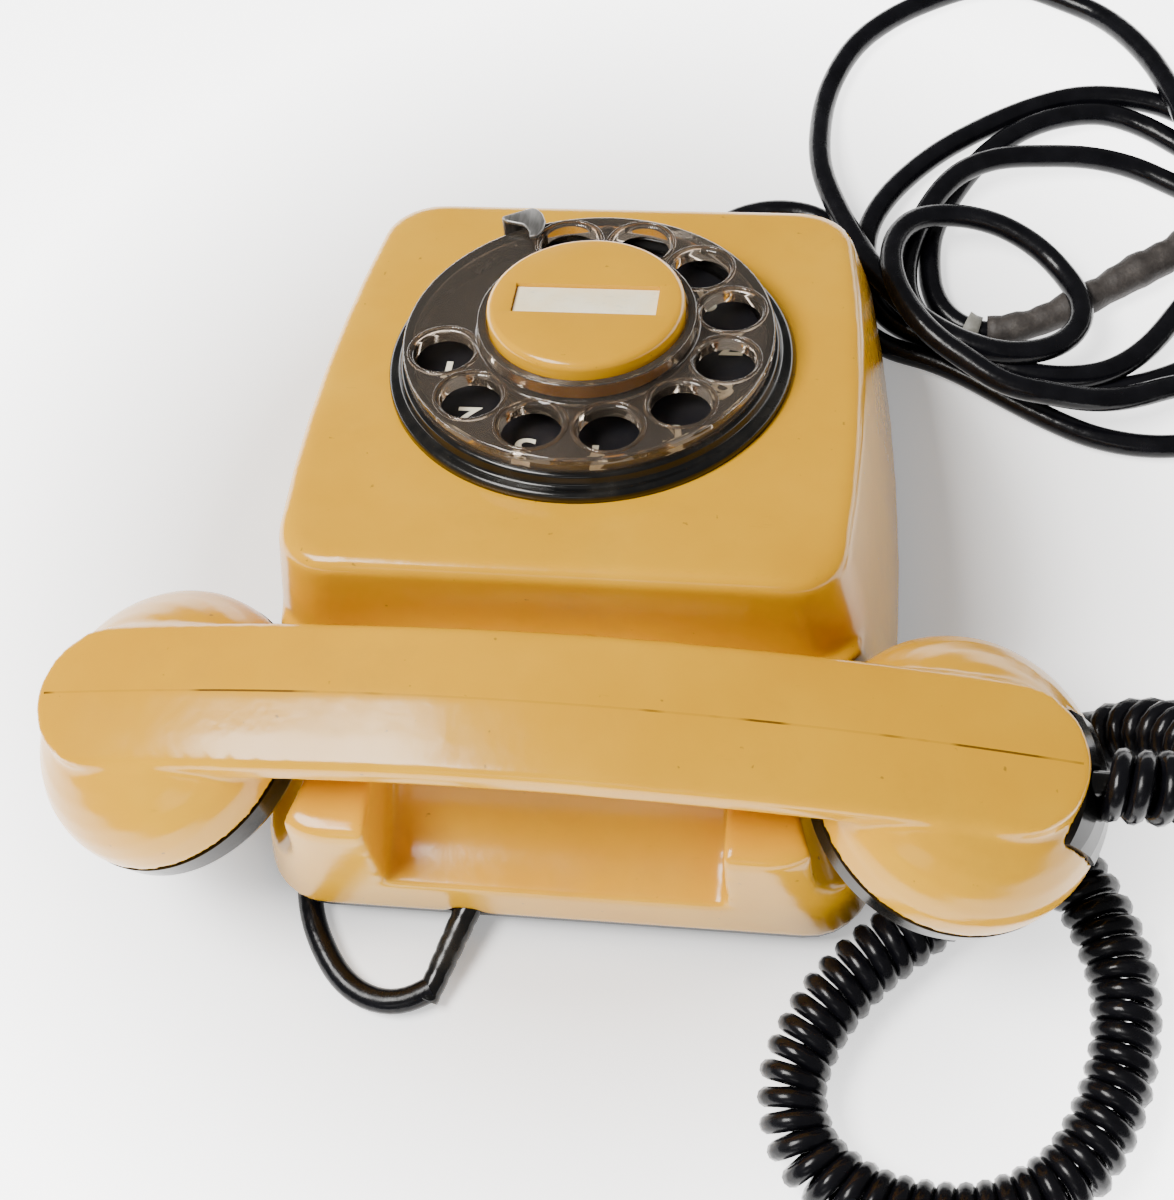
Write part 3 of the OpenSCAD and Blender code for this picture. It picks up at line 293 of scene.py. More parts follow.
def plate_black():
    """The dark enamelled number plate, satin and a little dusty."""
    material, tree, shader = tree_of("plate_black")
    where = place(tree)
    film = ramp(tree, noise(tree, where, 120, 5, 0.6), [(0.45, grey(0.0)), (0.8, grey(1.0))])
    colour = mixed(tree, product(tree, film, 0.35), (0.006, 0.006, 0.008), (0.03, 0.027, 0.025))
    tree.links.new(colour, shader.inputs["Base Color"])
    shader.inputs["Specular IOR Level"].default_value = 0.25
    shader.inputs["Roughness"].default_value = 0.38
    bump(tree, shader, noise(tree, where, 900, 2, 0.5), 0.08, 0.0002)
    return material


def metal(name, dark, light, rough, grain=(1.0, 1.0, 1.0), scale=180):
    """Worked metal: colour and roughness vary with its grain."""
    material, tree, shader = tree_of(name)
    where = place(tree)
    line = noise(tree, where, scale, 5, 0.6, grain)
    tree.links.new(ramp(tree, line, [(0.3, dark), (0.7, light)]), shader.inputs["Base Color"])
    worn = ramp(tree, line, [(0.3, grey(rough * 0.8)), (0.75, grey(min(1, rough * 1.35)))])
    tree.links.new(worn, shader.inputs["Roughness"])
    shader.inputs["Metallic"].default_value = 1.0
    bump(tree, shader, line, 0.15, 0.0002)
    return material


def matte(name, dark, light, rough, scale=150, depth=0.15):
    """A plain solid material with its own mottling: paper, board, fibre, rubber or painted metal."""
    material, tree, shader = tree_of(name)
    where = place(tree)
    colour = ramp(tree, noise(tree, where, scale, 6, 0.65), [(0.3, dark), (0.72, light)])
    tree.links.new(colour, shader.inputs["Base Color"])
    shader.inputs["Roughness"].default_value = rough
    bump(tree, shader, noise(tree, where, scale * 3, 4, 0.6), depth, 0.0003)
    return material


def card_paper():
    """Cream card, yellowed in blotches, with faint grey smudges where it was handled."""
    material, tree, shader = tree_of("card_paper")
    where = place(tree)
    base = ramp(tree, noise(tree, where, 110, 5, 0.6), [(0.3, (0.94, 0.78, 0.46)), (0.7, (0.98, 0.90, 0.68))])
    smudge = ramp(tree, noise(tree, where, 320, 5, 0.7, (1.0, 3.0, 3.0)),
                  [(0.56, grey(0.0)), (0.70, grey(1.0))])
    base = mixed(tree, product(tree, smudge, 0.30), base, (0.36, 0.36, 0.32))
    tree.links.new(base, shader.inputs["Base Color"])
    shader.inputs["Roughness"].default_value = 0.7
    bump(tree, shader, noise(tree, where, 1500, 3, 0.6), 0.2, 0.0001)
    return material


MATERIALS = {
    "tan_plastic": tan_plastic("aged_tan_plastic"),
    "black_plastic": black_plastic("dusty_black_plastic", 0.16, 0.14, 0.40),
    "plate_black": plate_black(),
    "base_metal": matte("base_enamel", (0.010, 0.010, 0.010), (0.03, 0.03, 0.03), 0.4),
    "clear_wheel": smoky_clear(),
    "white_plastic": matte("white_plastic", (0.62, 0.60, 0.53), (0.76, 0.74, 0.68), 0.42, 90),
    "card": card_paper(),
    "steel": metal("steel", (0.42, 0.42, 0.41), (0.60, 0.60, 0.58), 0.32, (1.0, 12.0, 1.0)),
    "stop_metal": metal("stop_metal", (0.20, 0.195, 0.185), (0.34, 0.33, 0.315), 0.42, (10.0, 1.0, 1.0)),
    "brass": metal("brass", (0.58, 0.42, 0.16), (0.72, 0.56, 0.26), 0.34, (1.0, 8.0, 1.0)),
    "gong_metal": metal("gong_metal", (0.58, 0.57, 0.54), (0.74, 0.74, 0.72), 0.16),
    "spring_steel": metal("spring_steel", (0.10, 0.12, 0.20), (0.20, 0.22, 0.30), 0.3),
    "fibre": matte("pressed_fibre", (0.22, 0.06, 0.03), (0.34, 0.11, 0.06), 0.6),
    "coil_wrap": matte("varnished_winding", (0.22, 0.07, 0.03), (0.36, 0.13, 0.06), 0.4, 700),
    "board": matte("phenolic_board", (0.22, 0.12, 0.04), (0.34, 0.20, 0.07), 0.45),
    "core_metal": matte("varnished_core", (0.07, 0.07, 0.08), (0.14, 0.14, 0.15), 0.45),
    "capacitor": matte("capacitor_case", (0.48, 0.40, 0.09), (0.58, 0.50, 0.14), 0.35),
    "capsule_metal": metal("capsule_metal", (0.50, 0.50, 0.49), (0.64, 0.64, 0.62), 0.36),
    "rubber": matte("foot_rubber", (0.010, 0.010, 0.010), (0.035, 0.034, 0.032), 0.75),
    "cord_black": cord_black(),
}
TAPE = tape_grey()
PALE_BAND = pale_band()
INK = matte("digit_ink", (0.80, 0.75, 0.56), (0.92, 0.88, 0.72), 0.5, 400)
HANDSET_PLASTIC = tan_plastic("handset_tan_plastic", seam=True)


def dress_nodes():
    """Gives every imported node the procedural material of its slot."""
    for part in RECORD["subparts"]:
        node = NODES[part["node"]]
        node.data.materials.clear()
        node.data.materials.append(MATERIALS[part["material_slot"]])


dress_nodes()


# ---- Mesh helpers --------------------------------------------------------------------

def put(name, mesh, body, slot=None, material=None, smooth=True, replaces=()):
    """Adds a finished mesh as a piece on a body, with its finish and the nodes it stands for."""
    piece = bpy.data.objects.new(name, mesh)
    scene.collection.objects.link(piece)
    finish_piece(piece, body, slot, material, smooth, replaces)
    return piece


def finish_piece(piece, body, slot=None, material=None, smooth=True, replaces=()):
    """Gives a piece its material, picked by slot where none is given, and its body, and hides the nodes it stands
    for.
    """
    piece.data.materials.clear()
    piece.data.materials.append(material or MATERIALS[slot])
    if smooth and piece.type == "MESH":
        piece.data.shade_smooth()
    if body:
        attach(piece, body)
    if replaces:
        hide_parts(*replaces)


def lathe(profile, steps=160, at=DIAL_AT, closed=False):
    """A mesh turned from (radius, height) points in millimetres about a frame's Z axis."""
    bm = bmesh.new()
    rings = []
    for radius, height in profile:
        if radius < 1e-6:
            rings.append([bm.verts.new((0, 0, height * MM))])
        else:
            rings.append([bm.verts.new((radius * MM * math.cos(a), radius * MM * math.sin(a), height * MM))
                          for a in (2 * math.pi * k / steps for k in range(steps))])
    pairs = list(zip(rings, rings[1:]))
    if closed:
        pairs.append((rings[-1], rings[0]))
    for low, high in pairs:
        for k in range(steps):
            n = (k + 1) % steps
            corners = [low[k % len(low)], low[n % len(low)], high[n % len(high)], high[k % len(high)]]
            unique = list(dict.fromkeys(corners))
            if len(unique) > 2:
                bm.faces.new(unique)
    bmesh.ops.recalc_face_normals(bm, faces=bm.faces)
    mesh = bpy.data.meshes.new("turned")
    bm.to_mesh(mesh)
    bm.free()
    mesh.transform(at)
    return mesh


def arc(cx, cy, r, start, end, steps):
    """Points on a round corner of a profile, angles in degrees."""
    return [(cx + r * math.cos(math.radians(start + (end - start) * k / steps)),
             cy + r * math.sin(math.radians(start + (end - start) * k / steps))) for k in range(steps + 1)]


def applied(piece, *modifiers):
    """Applies modifiers, given as (type, settings), one after another."""
    for kind, settings in modifiers:
        modifier = piece.modifiers.new(kind.lower(), kind)
        for key, value in settings.items():
            setattr(modifier, key, value)
    bpy.context.view_layer.update()
    graph = bpy.context.evaluated_depsgraph_get()
    mesh = bpy.data.meshes.new_from_object(piece.evaluated_get(graph))
    piece.modifiers.clear()
    piece.data = mesh
    return piece


def skin(name, node, voxel, rounds, body, slot, material=None):
    """A moulded skin over a CAD shell: the same walls with every edge and inner corner softened."""
    piece = bpy.data.objects.new(name, NODES[node].data.copy())
    scene.collection.objects.link(piece)
    applied(piece, ("REMESH", {"mode": "VOXEL", "voxel_size": voxel}),
            ("SMOOTH", {"factor": 0.5, "iterations": rounds}))
    finish_piece(piece, body, slot, material, replaces=[node])
    return piece


def smooth_line(points, step):
    """An even polyline on a smooth curve through given points (centripetal Hermite spans)."""
    p = np.array(points, float)
    t = np.concatenate([[0], np.cumsum(np.sqrt(np.linalg.norm(np.diff(p, axis=0), axis=1)))])
    slope = np.diff(p, axis=0) / np.diff(t)[:, None]
    tangent = np.empty_like(p)
    tangent[0], tangent[-1] = slope[0], slope[-1]
    h = np.diff(t)[:, None]
    tangent[1:-1] = (slope[:-1] * h[1:] + slope[1:] * h[:-1]) / (h[:-1] + h[1:])
    spans = []
    for i in range(len(p) - 1):
        u = np.linspace(0, 1, 24, endpoint=False)[:, None]
        width = t[i + 1] - t[i]
        spans.append((2 * u**3 - 3 * u**2 + 1) * p[i] + (u**3 - 2 * u**2 + u) * width * tangent[i]
                     + (3 * u**2 - 2 * u**3) * p[i + 1] + (u**3 - u**2) * width * tangent[i + 1])
    return even(np.vstack([*spans, p[-1:]]), step)


def run_of(line):
    """Distance along a polyline at each of its points."""
    return np.concatenate([[0], np.cumsum(np.linalg.norm(np.diff(line, axis=0), axis=1))])


def even(line, step):
    """The same line with its points an even step apart."""
    run = run_of(line)
    at = np.linspace(0, run[-1], int(run[-1] / step) + 1)
    return np.stack([np.interp(at, run, line[:, k]) for k in range(line.shape[1])], 1)


def sweep(line, radii, sides=14):
    """A closed tube along a polyline in millimetres, with a radius at each point."""
    line = np.array(line, float)
    radii = np.broadcast_to(radii, len(line))
    heading = np.gradient(line, axis=0)
    heading /= np.linalg.norm(heading, axis=1)[:, None]
    side = np.cross(heading[0], [0.0, 0.0, 1.0])
    if np.linalg.norm(side) < 0.1:
        side = np.cross(heading[0], [0.0, 1.0, 0.0])
    bm = bmesh.new()
    rings = []
    for point, ahead, radius in zip(line, heading, radii):
        side = side - ahead * np.dot(side, ahead)
        side /= np.linalg.norm(side)
        up = np.cross(side, ahead)
        rings.append([bm.verts.new(tuple((point + radius * (math.cos(a) * side + math.sin(a) * up)) * MM))
                      for a in (2 * math.pi * k / sides for k in range(sides))])
    for low, high in zip(rings, rings[1:]):
        for k in range(sides):
            n = (k + 1) % sides
            bm.faces.new((low[k], low[n], high[n], high[k]))
    bm.faces.new(rings[0])
    bm.faces.new(rings[-1])
    bmesh.ops.recalc_face_normals(bm, faces=bm.faces)
    mesh = bpy.data.meshes.new("tube")
    bm.to_mesh(mesh)
    bm.free()
    return mesh


# ---- Line cord -----------------------------------------------------------------------

LINE_D = 5.9
LINE_R = LINE_D / 2
SLEEVE_FROM = Vector((20.6, 83, 8.6))
SLEEVE_TO = Vector((28.6, 104, 3.6))
SLEEVE_R = 3.2
SLEEVE_RINGS = 26
PLUG_ENTRY_Z = 5.5
TAPE_AT = (-86, -75)
TAPE_LENGTH = 74
BAND_LENGTH = 5
TAPE_OVERLAP = 0.5
TAPE_SWELL = 0.32

# From the sleeve round the rear, under the telephone and out past its front corner.
UNDER_PHONE = [(28.6, 104), (34, 107.2), (41.5, 107.6), (49.2, 103.8), (54.9, 96.8), (59.1, 88.7), (61.2, 78),
               (60, 64), (57, 50), (52, 38), (46, 24), (39, 10), (32, -4), (25, -18), (18, -32), (11, -46),
               (4, -60), (-3, -74), (-10, -88), (-17, -100), (-26, -108), (-38, -110.8), (-49.5, -107.5),
               (-55, -100), (-55, -91), (-56, -82), (-60, -74.5), (-68, -69)]
# The loose bundle's turns from the lowest up. They join past the picture's edge, where the route is guessed.
TURN_1 = [(-77, -66.5), (-86, -62.5), (-95.4, -57), (-106.6, -50.7), (-117.5, -45.8), (-128.3, -43.6),
          (-139, -43.8), (-152, -47.5), (-165, -58), (-174, -74), (-178, -93), (-175, -112), (-166.5, -128),
          (-155, -137.5)]
TURN_2 = [(-143.3, -143.5), (-136.4, -147.3), (-125.5, -149.6), (-113.7, -149.4), (-100.3, -144.6),
          (-87.8, -137.5), (-76.9, -129.4), (-65.5, -116.5), (-60.4, -105), (-60.2, -95), (-62, -86),
          (-66.5, -78.5), (-74, -73.8), (-84, -70.5), (-95.3, -65.2), (-102.8, -61.8), (-112, -59.2),
          (-121.2, -59), (-128.5, -60.3), (-138.1, -64), (-152, -72.5), (-162, -85), (-165.5, -100),
          (-161, -115), (-151, -126.5)]
TURN_3 = [(-139.3, -135.1), (-133.1, -139.4), (-121.5, -144.1), (-109.8, -142.8), (-100.4, -138.7),
          (-90.3, -129.7), (-82.7, -117.9), (-77.2, -104.5), (-76.8, -95), (-78, -86), (-82, -79),
          (-88.5, -75), (-96.5, -75), (-110.1, -80.6), (-117.6, -85.4), (-127.3, -92.1), (-137.5, -98.7),
          (-144.8, -104.5), (-147, -111.5), (-144.5, -118)]
TURN_4 = [(-137, -122.5), (-129.2, -126.7), (-117.6, -129.8), (-106, -130), (-92.7, -128.8), (-83.4, -123.7),
          (-76.6, -113.9), (-72.2, -102.5), (-70.8, -92), (-72.5, -82), (-78.5, -75), (-88, -68.5),
          (-99.8, -63.6), (-110.2, -62.2), (-121.2, -64), (-128.6, -68.6), (-134.5, -75), (-139, -81.8),
          (-147, -94), (-151, -108), (-149.5, -124)]
TURN_5 = [(-143.2, -140.5), (-138.8, -152.3), (-131.9, -165.3), (-121.6, -176.4), (-109.6, -183.1),
          (-99.8, -187.2), (-86.7, -187.1), (-74.5, -182.2), (-64, -175.8), (-54.6, -166.3), (-48, -150.8),
          (-46.3, -136.6), (-47.3, -124.8), (-51.5, -113.3), (-58.4, -100.2), (-66.7, -87.4), (-76.5, -77.5)]
SMALL_LOOP = [(-87.7, -71.2), (-98.3, -68.9), (-108.7, -71), (-115, -77), (-115.7, -84.4), (-111.5, -92.5),
              (-103.9, -101.5), (-93, -108.4), (-80.6, -110.6), (-71.8, -108.6), (-67.2, -101.5),
              (-67.6, -91.5), (-72.5, -81)]
TO_PLUG = [(-78.5, -73.5), (-87, -66.8), (-97, -60), (-108, -57.5), (-119, -56), (-129, -57.5), (-139, -61),
           (-149.5, -61.5), (-158, -56), (-161.5, -46), (-161.2, -37), (-161, -29)]
PLAN_STEP = 2.0
HUMP_R = 13.0


def settle(plan):
    """Heights of a cord laid down from its start: it rests on the table or on the turns already there."""
    run = run_of(plan)
    count = len(plan)
    height = np.full(count, LINE_R)
    reach = 30
    for _ in range(14):
        spread = height.copy()
        for k in range(-reach, reach + 1):
            drop = (k * PLAN_STEP) ** 2 / (2 * HUMP_R)
            low, high = max(0, k), min(count, count + k)
            spread[low:high] = np.maximum(spread[low:high], height[low - k:high - k] - drop)
        for j in range(count):
            earlier = np.where(run[:j] < run[j] - 3.2 * LINE_D)[0]
            gap = np.linalg.norm(plan[earlier] - plan[j], axis=1)
            under = gap < LINE_D
            if under.any():
                rest = spread[earlier[under]] + np.sqrt(np.maximum((0.92 * LINE_D) ** 2 - gap[under] ** 2, 0))
                spread[j] = max(spread[j], rest.max())
        height = spread
    for _ in range(6):
        height[1:-1] = np.maximum((height[:-2] + 2 * height[1:-1] + height[2:]) / 4, LINE_R)
    return height


def line_cord_path():
    """The cord's centre line. A raised turn moves along the photo's sight line, so it looks in its place."""
    turns = TURN_1 + TURN_2 + TURN_3 + TURN_4 + TURN_5 + SMALL_LOOP
    plan = smooth_line(UNDER_PHONE + turns + TO_PLUG, PLAN_STEP)
    for _ in range(4):
        plan[1:-1] = (plan[:-2] + 2 * plan[1:-1] + plan[2:]) / 4
    height = settle(plan)
    eye = np.array(scene.camera.matrix_world.translation) / MM
    lifted = (height - LINE_R)[:, None] / (eye[2] - LINE_R)
    plan = plan + lifted * (eye[:2] - plan)
    from_plug = run_of(plan)[-1] - run_of(plan)
    height = height + (PLUG_ENTRY_Z - LINE_R) * np.clip(1 - from_plug / 16, 0, 1) ** 2
    from_sleeve = run_of(plan)
    height = height + (SLEEVE_TO.z - LINE_R) * np.clip(1 - from_sleeve / 14, 0, 1) ** 2
    return np.c_[plan, height]


def curve_piece(name, line, radius):
    """A round cord as one open spline."""
    data = bpy.data.curves.new(name, "CURVE")
    data.dimensions = "3D"
    data.bevel_depth = radius * MM
    data.bevel_resolution = 6
    data.use_fill_caps = True
    spline = data.splines.new("POLY")
    spline.points.add(len(line) - 1)
    for point, place_mm in zip(spline.points, line):
        point.co = (*(place_mm * MM), 1)
    piece = bpy.data.objects.new(name, data)
    scene.collection.objects.link(piece)
    return piece


def plug_body():
    """The case of a flat four-pin line plug, with a waist to grip and a top that slopes down at one end."""
    low, high = (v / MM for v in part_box("line_plug"))
    middle, half = (low + high) / 2, (high - low) / 2
    bm = bmesh.new()
    bmesh.ops.create_grid(bm, x_segments=12, y_segments=16, size=1.0)
    for vert in bm.verts:
        x, y = vert.co.x, vert.co.y
        waist = 1 - 0.12 * math.exp(-((y + 0.25) / 0.35) ** 2)
        vert.co = Vector((middle.x + x * half.x * waist, middle.y + y * half.y, low.z))
    faces = bmesh.ops.extrude_face_region(bm, geom=bm.faces[:])
    top = [v for v in faces["geom"] if isinstance(v, bmesh.types.BMVert)]
    for vert in top:
        along = (vert.co.y - low.y) / (high.y - low.y)
        vert.co.z = high.z - 2.2 * max(0.0, 1 - along / 0.4)
    bmesh.ops.recalc_face_normals(bm, faces=bm.faces)
    bmesh.ops.scale(bm, vec=(MM, MM, MM), verts=bm.verts)
    mesh = bpy.data.meshes.new("line_plug_case")
    bm.to_mesh(mesh)
    bm.free()
    piece = bpy.data.objects.new("line_plug_case", mesh)
    scene.collection.objects.link(piece)
    applied(piece, ("BEVEL", {"width": 1.6 * MM, "segments": 4, "limit_method": "ANGLE"}))
    finish_piece(piece, BASE, "black_plastic", replaces=["line_plug"])
    return piece


def tape_wrap(line, name, start, end, radius, material, swell=0.0):
    """Tape wound round a stretch of cord between two points given by their distance along it."""
    run = run_of(line)
    part = line[(run >= start) & (run <= end)].copy()
    along = np.linspace(0, 1, len(part))
    lumps = radius * (1 + swell * along) * (1 + 0.05 * np.sin(along * 23) + 0.04 * np.sin(along * 61 + 1))
    part[:, 2] = np.maximum(part[:, 2], lumps + 0.1)
    return put(name, sweep(part, lumps, 20), BASE, "cord_black", material)


def distance_at(line, run, spot, low, high):
    """How far along the line its nearest point to a spot on the table is, between two point numbers."""
    nearest = np.argmin(np.linalg.norm(line[low:high, :2] - spot, axis=1))
    return run[low + nearest]


def make_line_cord():
    """The line cord with its ribbed sleeve, its taped stretch and its plug."""
    line = line_cord_path()
    cord = curve_piece("line_cord_run", line, LINE_R)
    finish_piece(cord, BASE, "cord_black", replaces=["line_cord", "line_bundle", "line_tail"])
    axis = SLEEVE_TO - SLEEVE_FROM
    along = np.linspace(-0.05, 1.12, SLEEVE_RINGS)
    sleeve_line = np.array([SLEEVE_FROM + axis * a for a in along])
    grooves = 0.16 * (np.arange(SLEEVE_RINGS) % 4 == 3) * (along > 0.2)
    taper = SLEEVE_R - 0.42 * np.clip(along, 0, 1) - grooves
    sleeve = put("line_cord_sleeve", sweep(sleeve_line, taper, 24), BASE, "black_plastic",
                 replaces=["line_sleeve"])
    run = run_of(line)
    first = np.searchsorted(run, 0.44 * run[-1])
    last = np.searchsorted(run, 0.62 * run[-1])
    start = distance_at(line, run, TAPE_AT, first, last)
    band = tape_wrap(line, "tape_pale_band", start, start + BAND_LENGTH, LINE_R + 0.75, PALE_BAND)
    wrap = tape_wrap(line, "tape_wrap", start + BAND_LENGTH - TAPE_OVERLAP, start + TAPE_LENGTH,
                     LINE_R + 0.7, TAPE, TAPE_SWELL)
    plug = plug_body()


make_line_cord()


# ---- Curly cord ----------------------------------------------------------------------

CURLY_ROUTE = [(-79, 46, 12), (-87, 48, 9.5), (-93, 56, 7.7), (-93, 67, 7.7), (-87, 76, 7.7), (-78, 84, 7.7),
               (-67, 94, 7.7), (-58, 107, 7.7), (-54, 121, 7.7), (-58, 134, 7.7), (-69, 142, 7.7),
               (-84, 145, 7.7), (-99, 143, 7.7), (-112, 135, 7.7), (-120, 122, 7.7), (-124, 107, 7.7),
               (-124, 92, 7.7), (-119, 78, 7.7), (-112, 66, 7.7), (-109, 53, 8.5), (-114, 42, 12),
               (-124, 39, 20), (-133, 43, 30), (-138, 50, 39), (-137, 58, 46), (-128, 62, 50), (-115, 62, 50)]
STRAND_D = 4.5
COIL_R = 5.6
COIL_PITCH = 4.75
COIL_STEPS = 16
COIL_LEAD = 5.0


def along_line(at, run, values):
    """Rows of values read off a line at the given distances along it."""
    return np.stack([np.interp(at, run, values[:, k]) for k in range(3)], 1)


def curly_line():
    """The coiled strand: a short lead from the base, then a helix of one width all the way to the handset."""
    middle = smooth_line(CURLY_ROUTE, 0.5)
    for _ in range(12):
        middle[1:-1] = (middle[:-2] + 2 * middle[1:-1] + middle[2:]) / 4
    run = run_of(middle)
    heading = np.gradient(middle, axis=0)
    heading /= np.linalg.norm(heading, axis=1)[:, None]
    side = np.empty_like(middle)
    s = np.cross(heading[0], [0.0, 0.0, 1.0])
    for i, ahead in enumerate(heading):
        s = s - ahead * np.dot(s, ahead)
        s /= np.linalg.norm(s)
        side[i] = s
    up = np.cross(side, heading)
    coiled = run[-1] - COIL_LEAD
    turns = coiled / COIL_PITCH
    count = int(turns * COIL_STEPS)
    at = np.linspace(0, run[-1], count + 1)
    along = np.clip((at - COIL_LEAD) / coiled, 0, 1)
    ease = np.clip(at / (2.2 * COIL_LEAD), 0, 1)
    radius = COIL_R * ease * ease * (3 - 2 * ease)
    angle = 2 * math.pi * turns * along
    wobble = 1 + 0.02 * np.sin(along * 41)
    outward = (np.cos(angle)[:, None] * along_line(at, run, side)
               + np.sin(angle)[:, None] * along_line(at, run, up))
    return along_line(at, run, middle) + (radius * wobble)[:, None] * outward


def make_curly_cord():
    """The curly cord, which runs from the base to the handset."""
    line = curly_line()
    line[:, 2] = np.maximum(line[:, 2], STRAND_D / 2)
    cord = put("curly_cord_strand", sweep(line, STRAND_D / 2, 10), None, "cord_black",
               replaces=["curly_cord"])
    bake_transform(cord)


make_curly_cord()


# ---- Housing and handset -------------------------------------------------------------

skin("housing_skin", "housing_shell", 0.85 * MM, 14, BASE, "tan_plastic")
skin("handset_skin", "handset_body", 0.8 * MM, 7, HANDSET, "tan_plastic", HANDSET_PLASTIC)


# ---- Dial ----------------------------------------------------------------------------

WHEEL_R = 42.0
HOLE_R = 6.65
HOLE_CIRCLE = 32.7
WHEEL_LOW = 6.3
WHEEL_TOP = 9.3
CAP_R = 22.2
BEZEL_R = 46.0
CAP_TOP = 18.3
DIGIT_SIZE = 9.6
DIGIT_RING = 32.5
DIGIT_TURN = 4.3
DIGIT_HEIGHT = 1.26
DIGIT_STRETCH = 1.2
FIRST_HOLE = 15
HOLE_PITCH = 30
WINDOW_W = 32.4
WINDOW_L = 9.8
WINDOW_CUT = 4.0
WINDOW_UP = 0.6
STOP_ANGLE = -61
STOP_R = 45.05
STOP_SHEET = 1.1
STOP_FOOT_W = 8.0


def hole_angles():
    """Where the ten finger holes stand round the dial."""
    return [math.radians(FIRST_HOLE + HOLE_PITCH * k) for k in range(10)]


def make_bezel():
    """Two steps of black moulding with rounded lips round the finger wheel."""
    profile = ([(40, 0.02), (BEZEL_R, 0.02)] + arc(BEZEL_R - 1.2, 1.2, 1.2, 0, 80, 5)
               + arc(BEZEL_R - 1.8, 3.4, 1.0, 265, 190, 5) + arc(BEZEL_R - 4.1, 4.2, 1.0, 0, 90, 6)
               + arc(41.0, 4.2, 1.0, 90, 180, 6))
    put("bezel_ring", lathe(profile, 192, closed=True), BASE, "black_plastic", replaces=["dial_bezel"])


def make_wheel():
    """The clear finger wheel: a disc with a rim skirt, bevelled hole collars and a standing hub ring."""
    hub = CAP_R + 2.4
    outline = ([(3.06, WHEEL_LOW)] + [(WHEEL_R - 1.9, WHEEL_LOW)]
               + arc(WHEEL_R - 1.2, WHEEL_LOW - 1.1, 0.6, 180, 270, 4)
               + arc(WHEEL_R - 0.6, WHEEL_LOW - 1.1, 0.6, 270, 360, 4)
               + arc(WHEEL_R - 0.9, WHEEL_TOP - 0.9, 0.9, 0, 90, 6)
               + arc(hub + 1.8, WHEEL_TOP + 1.8, 1.8, 270, 190, 5)
               + arc(hub - 0.5, WHEEL_TOP + 4.5, 0.5, 0, 90, 4)
               + arc(CAP_R + 0.7, WHEEL_TOP + 4.5, 0.5, 90, 180, 4)
               + [(CAP_R + 0.2, WHEEL_TOP), (3.06, WHEEL_TOP)])
    wheel = bpy.data.objects.new("wheel_clear", lathe(outline, 240, closed=True))
    scene.collection.objects.link(wheel)
    cutters = bmesh.new()
    for angle in hole_angles():
        at = DIAL_AT @ Matrix.Rotation(angle, 4, "Z") @ Matrix.Translation((HOLE_CIRCLE * MM, 0, 0))
        profile = [(0, 0), (HOLE_R, 0), (HOLE_R, WHEEL_TOP - 0.9), (HOLE_R + 0.25, WHEEL_TOP - 0.35),
                   (HOLE_R + 0.9, WHEEL_TOP + 0.1), (HOLE_R + 0.9, WHEEL_TOP + 3), (0, WHEEL_TOP + 3)]
        cutters.from_mesh(lathe(profile, 64, at))
    mesh = bpy.data.meshes.new("cutters")
    cutters.to_mesh(mesh)
    cutters.free()
    cutter = bpy.data.objects.new("cutters", mesh)
    scene.collection.objects.link(cutter)
    applied(wheel, ("BOOLEAN", {"operation": "DIFFERENCE", "object": cutter, "solver": "EXACT"}))
    bpy.data.objects.remove(cutter)
    finish_piece(wheel, DIAL, "clear_wheel", replaces=["finger_wheel"])
    wheel.data.set_sharp_from_angle(angle=math.radians(35))


def make_collars():
    """A raised lip round each finger hole, moulded in one with the wheel."""
    bm = bmesh.new()
    for angle in hole_angles():
        at = DIAL_AT @ Matrix.Rotation(angle, 4, "Z") @ Matrix.Translation((HOLE_CIRCLE * MM, 0, 0))
        lip = (arc(HOLE_R + 1.25, WHEEL_TOP + 0.05, 0.42, 0, 180, 8)
               + [(HOLE_R + 0.83, WHEEL_TOP - 0.1), (HOLE_R + 1.67, WHEEL_TOP - 0.1)])
        bm.from_mesh(lathe(lip, 64, at, closed=True))
    mesh = bpy.data.meshes.new("wheel_collars")
    bm.to_mesh(mesh)
    bm.free()
    put("wheel_collars", mesh, DIAL, "clear_wheel")


def make_cap():
    """The tan cap with a softened brim and a sunk window for the card."""
    top = CAP_TOP
    profile = ([(19.2, WHEEL_TOP + 0.02), (CAP_R, WHEEL_TOP + 0.02), (CAP_R, top - 2.6)]
               + arc(CAP_R - 2.0, top - 2.0, 2.0, 0, 78, 8)
               + [(14, top - 0.02), (0, top), (0, top - 3.4), (19.2, top - 3.4)])
    cap = bpy.data.objects.new("dial_cap_tan", lathe(profile, 192))
    scene.collection.objects.link(cap)
    bm = bmesh.new()
    at = DIAL_AT @ Matrix.Translation((0, 0, top * MM + WINDOW_UP * MM))
    size = Matrix.Diagonal((WINDOW_W * MM, WINDOW_L * MM, WINDOW_CUT * MM, 1))
    bmesh.ops.create_cube(bm, size=1.0, matrix=at @ size)
    mesh = bpy.data.meshes.new("window")
    bm.to_mesh(mesh)
    bm.free()
    window = bpy.data.objects.new("window", mesh)
    scene.collection.objects.link(window)
    applied(cap, ("BOOLEAN", {"operation": "DIFFERENCE", "object": window, "solver": "EXACT"}),
            ("BEVEL", {"width": 0.35 * MM, "segments": 3, "limit_method": "ANGLE",
                       "angle_limit": math.radians(50)}))
    bpy.data.objects.remove(window)
    finish_piece(cap, DIAL, "tan_plastic", replaces=["dial_cap"])
    cap.data.set_sharp_from_angle(angle=math.radians(35))


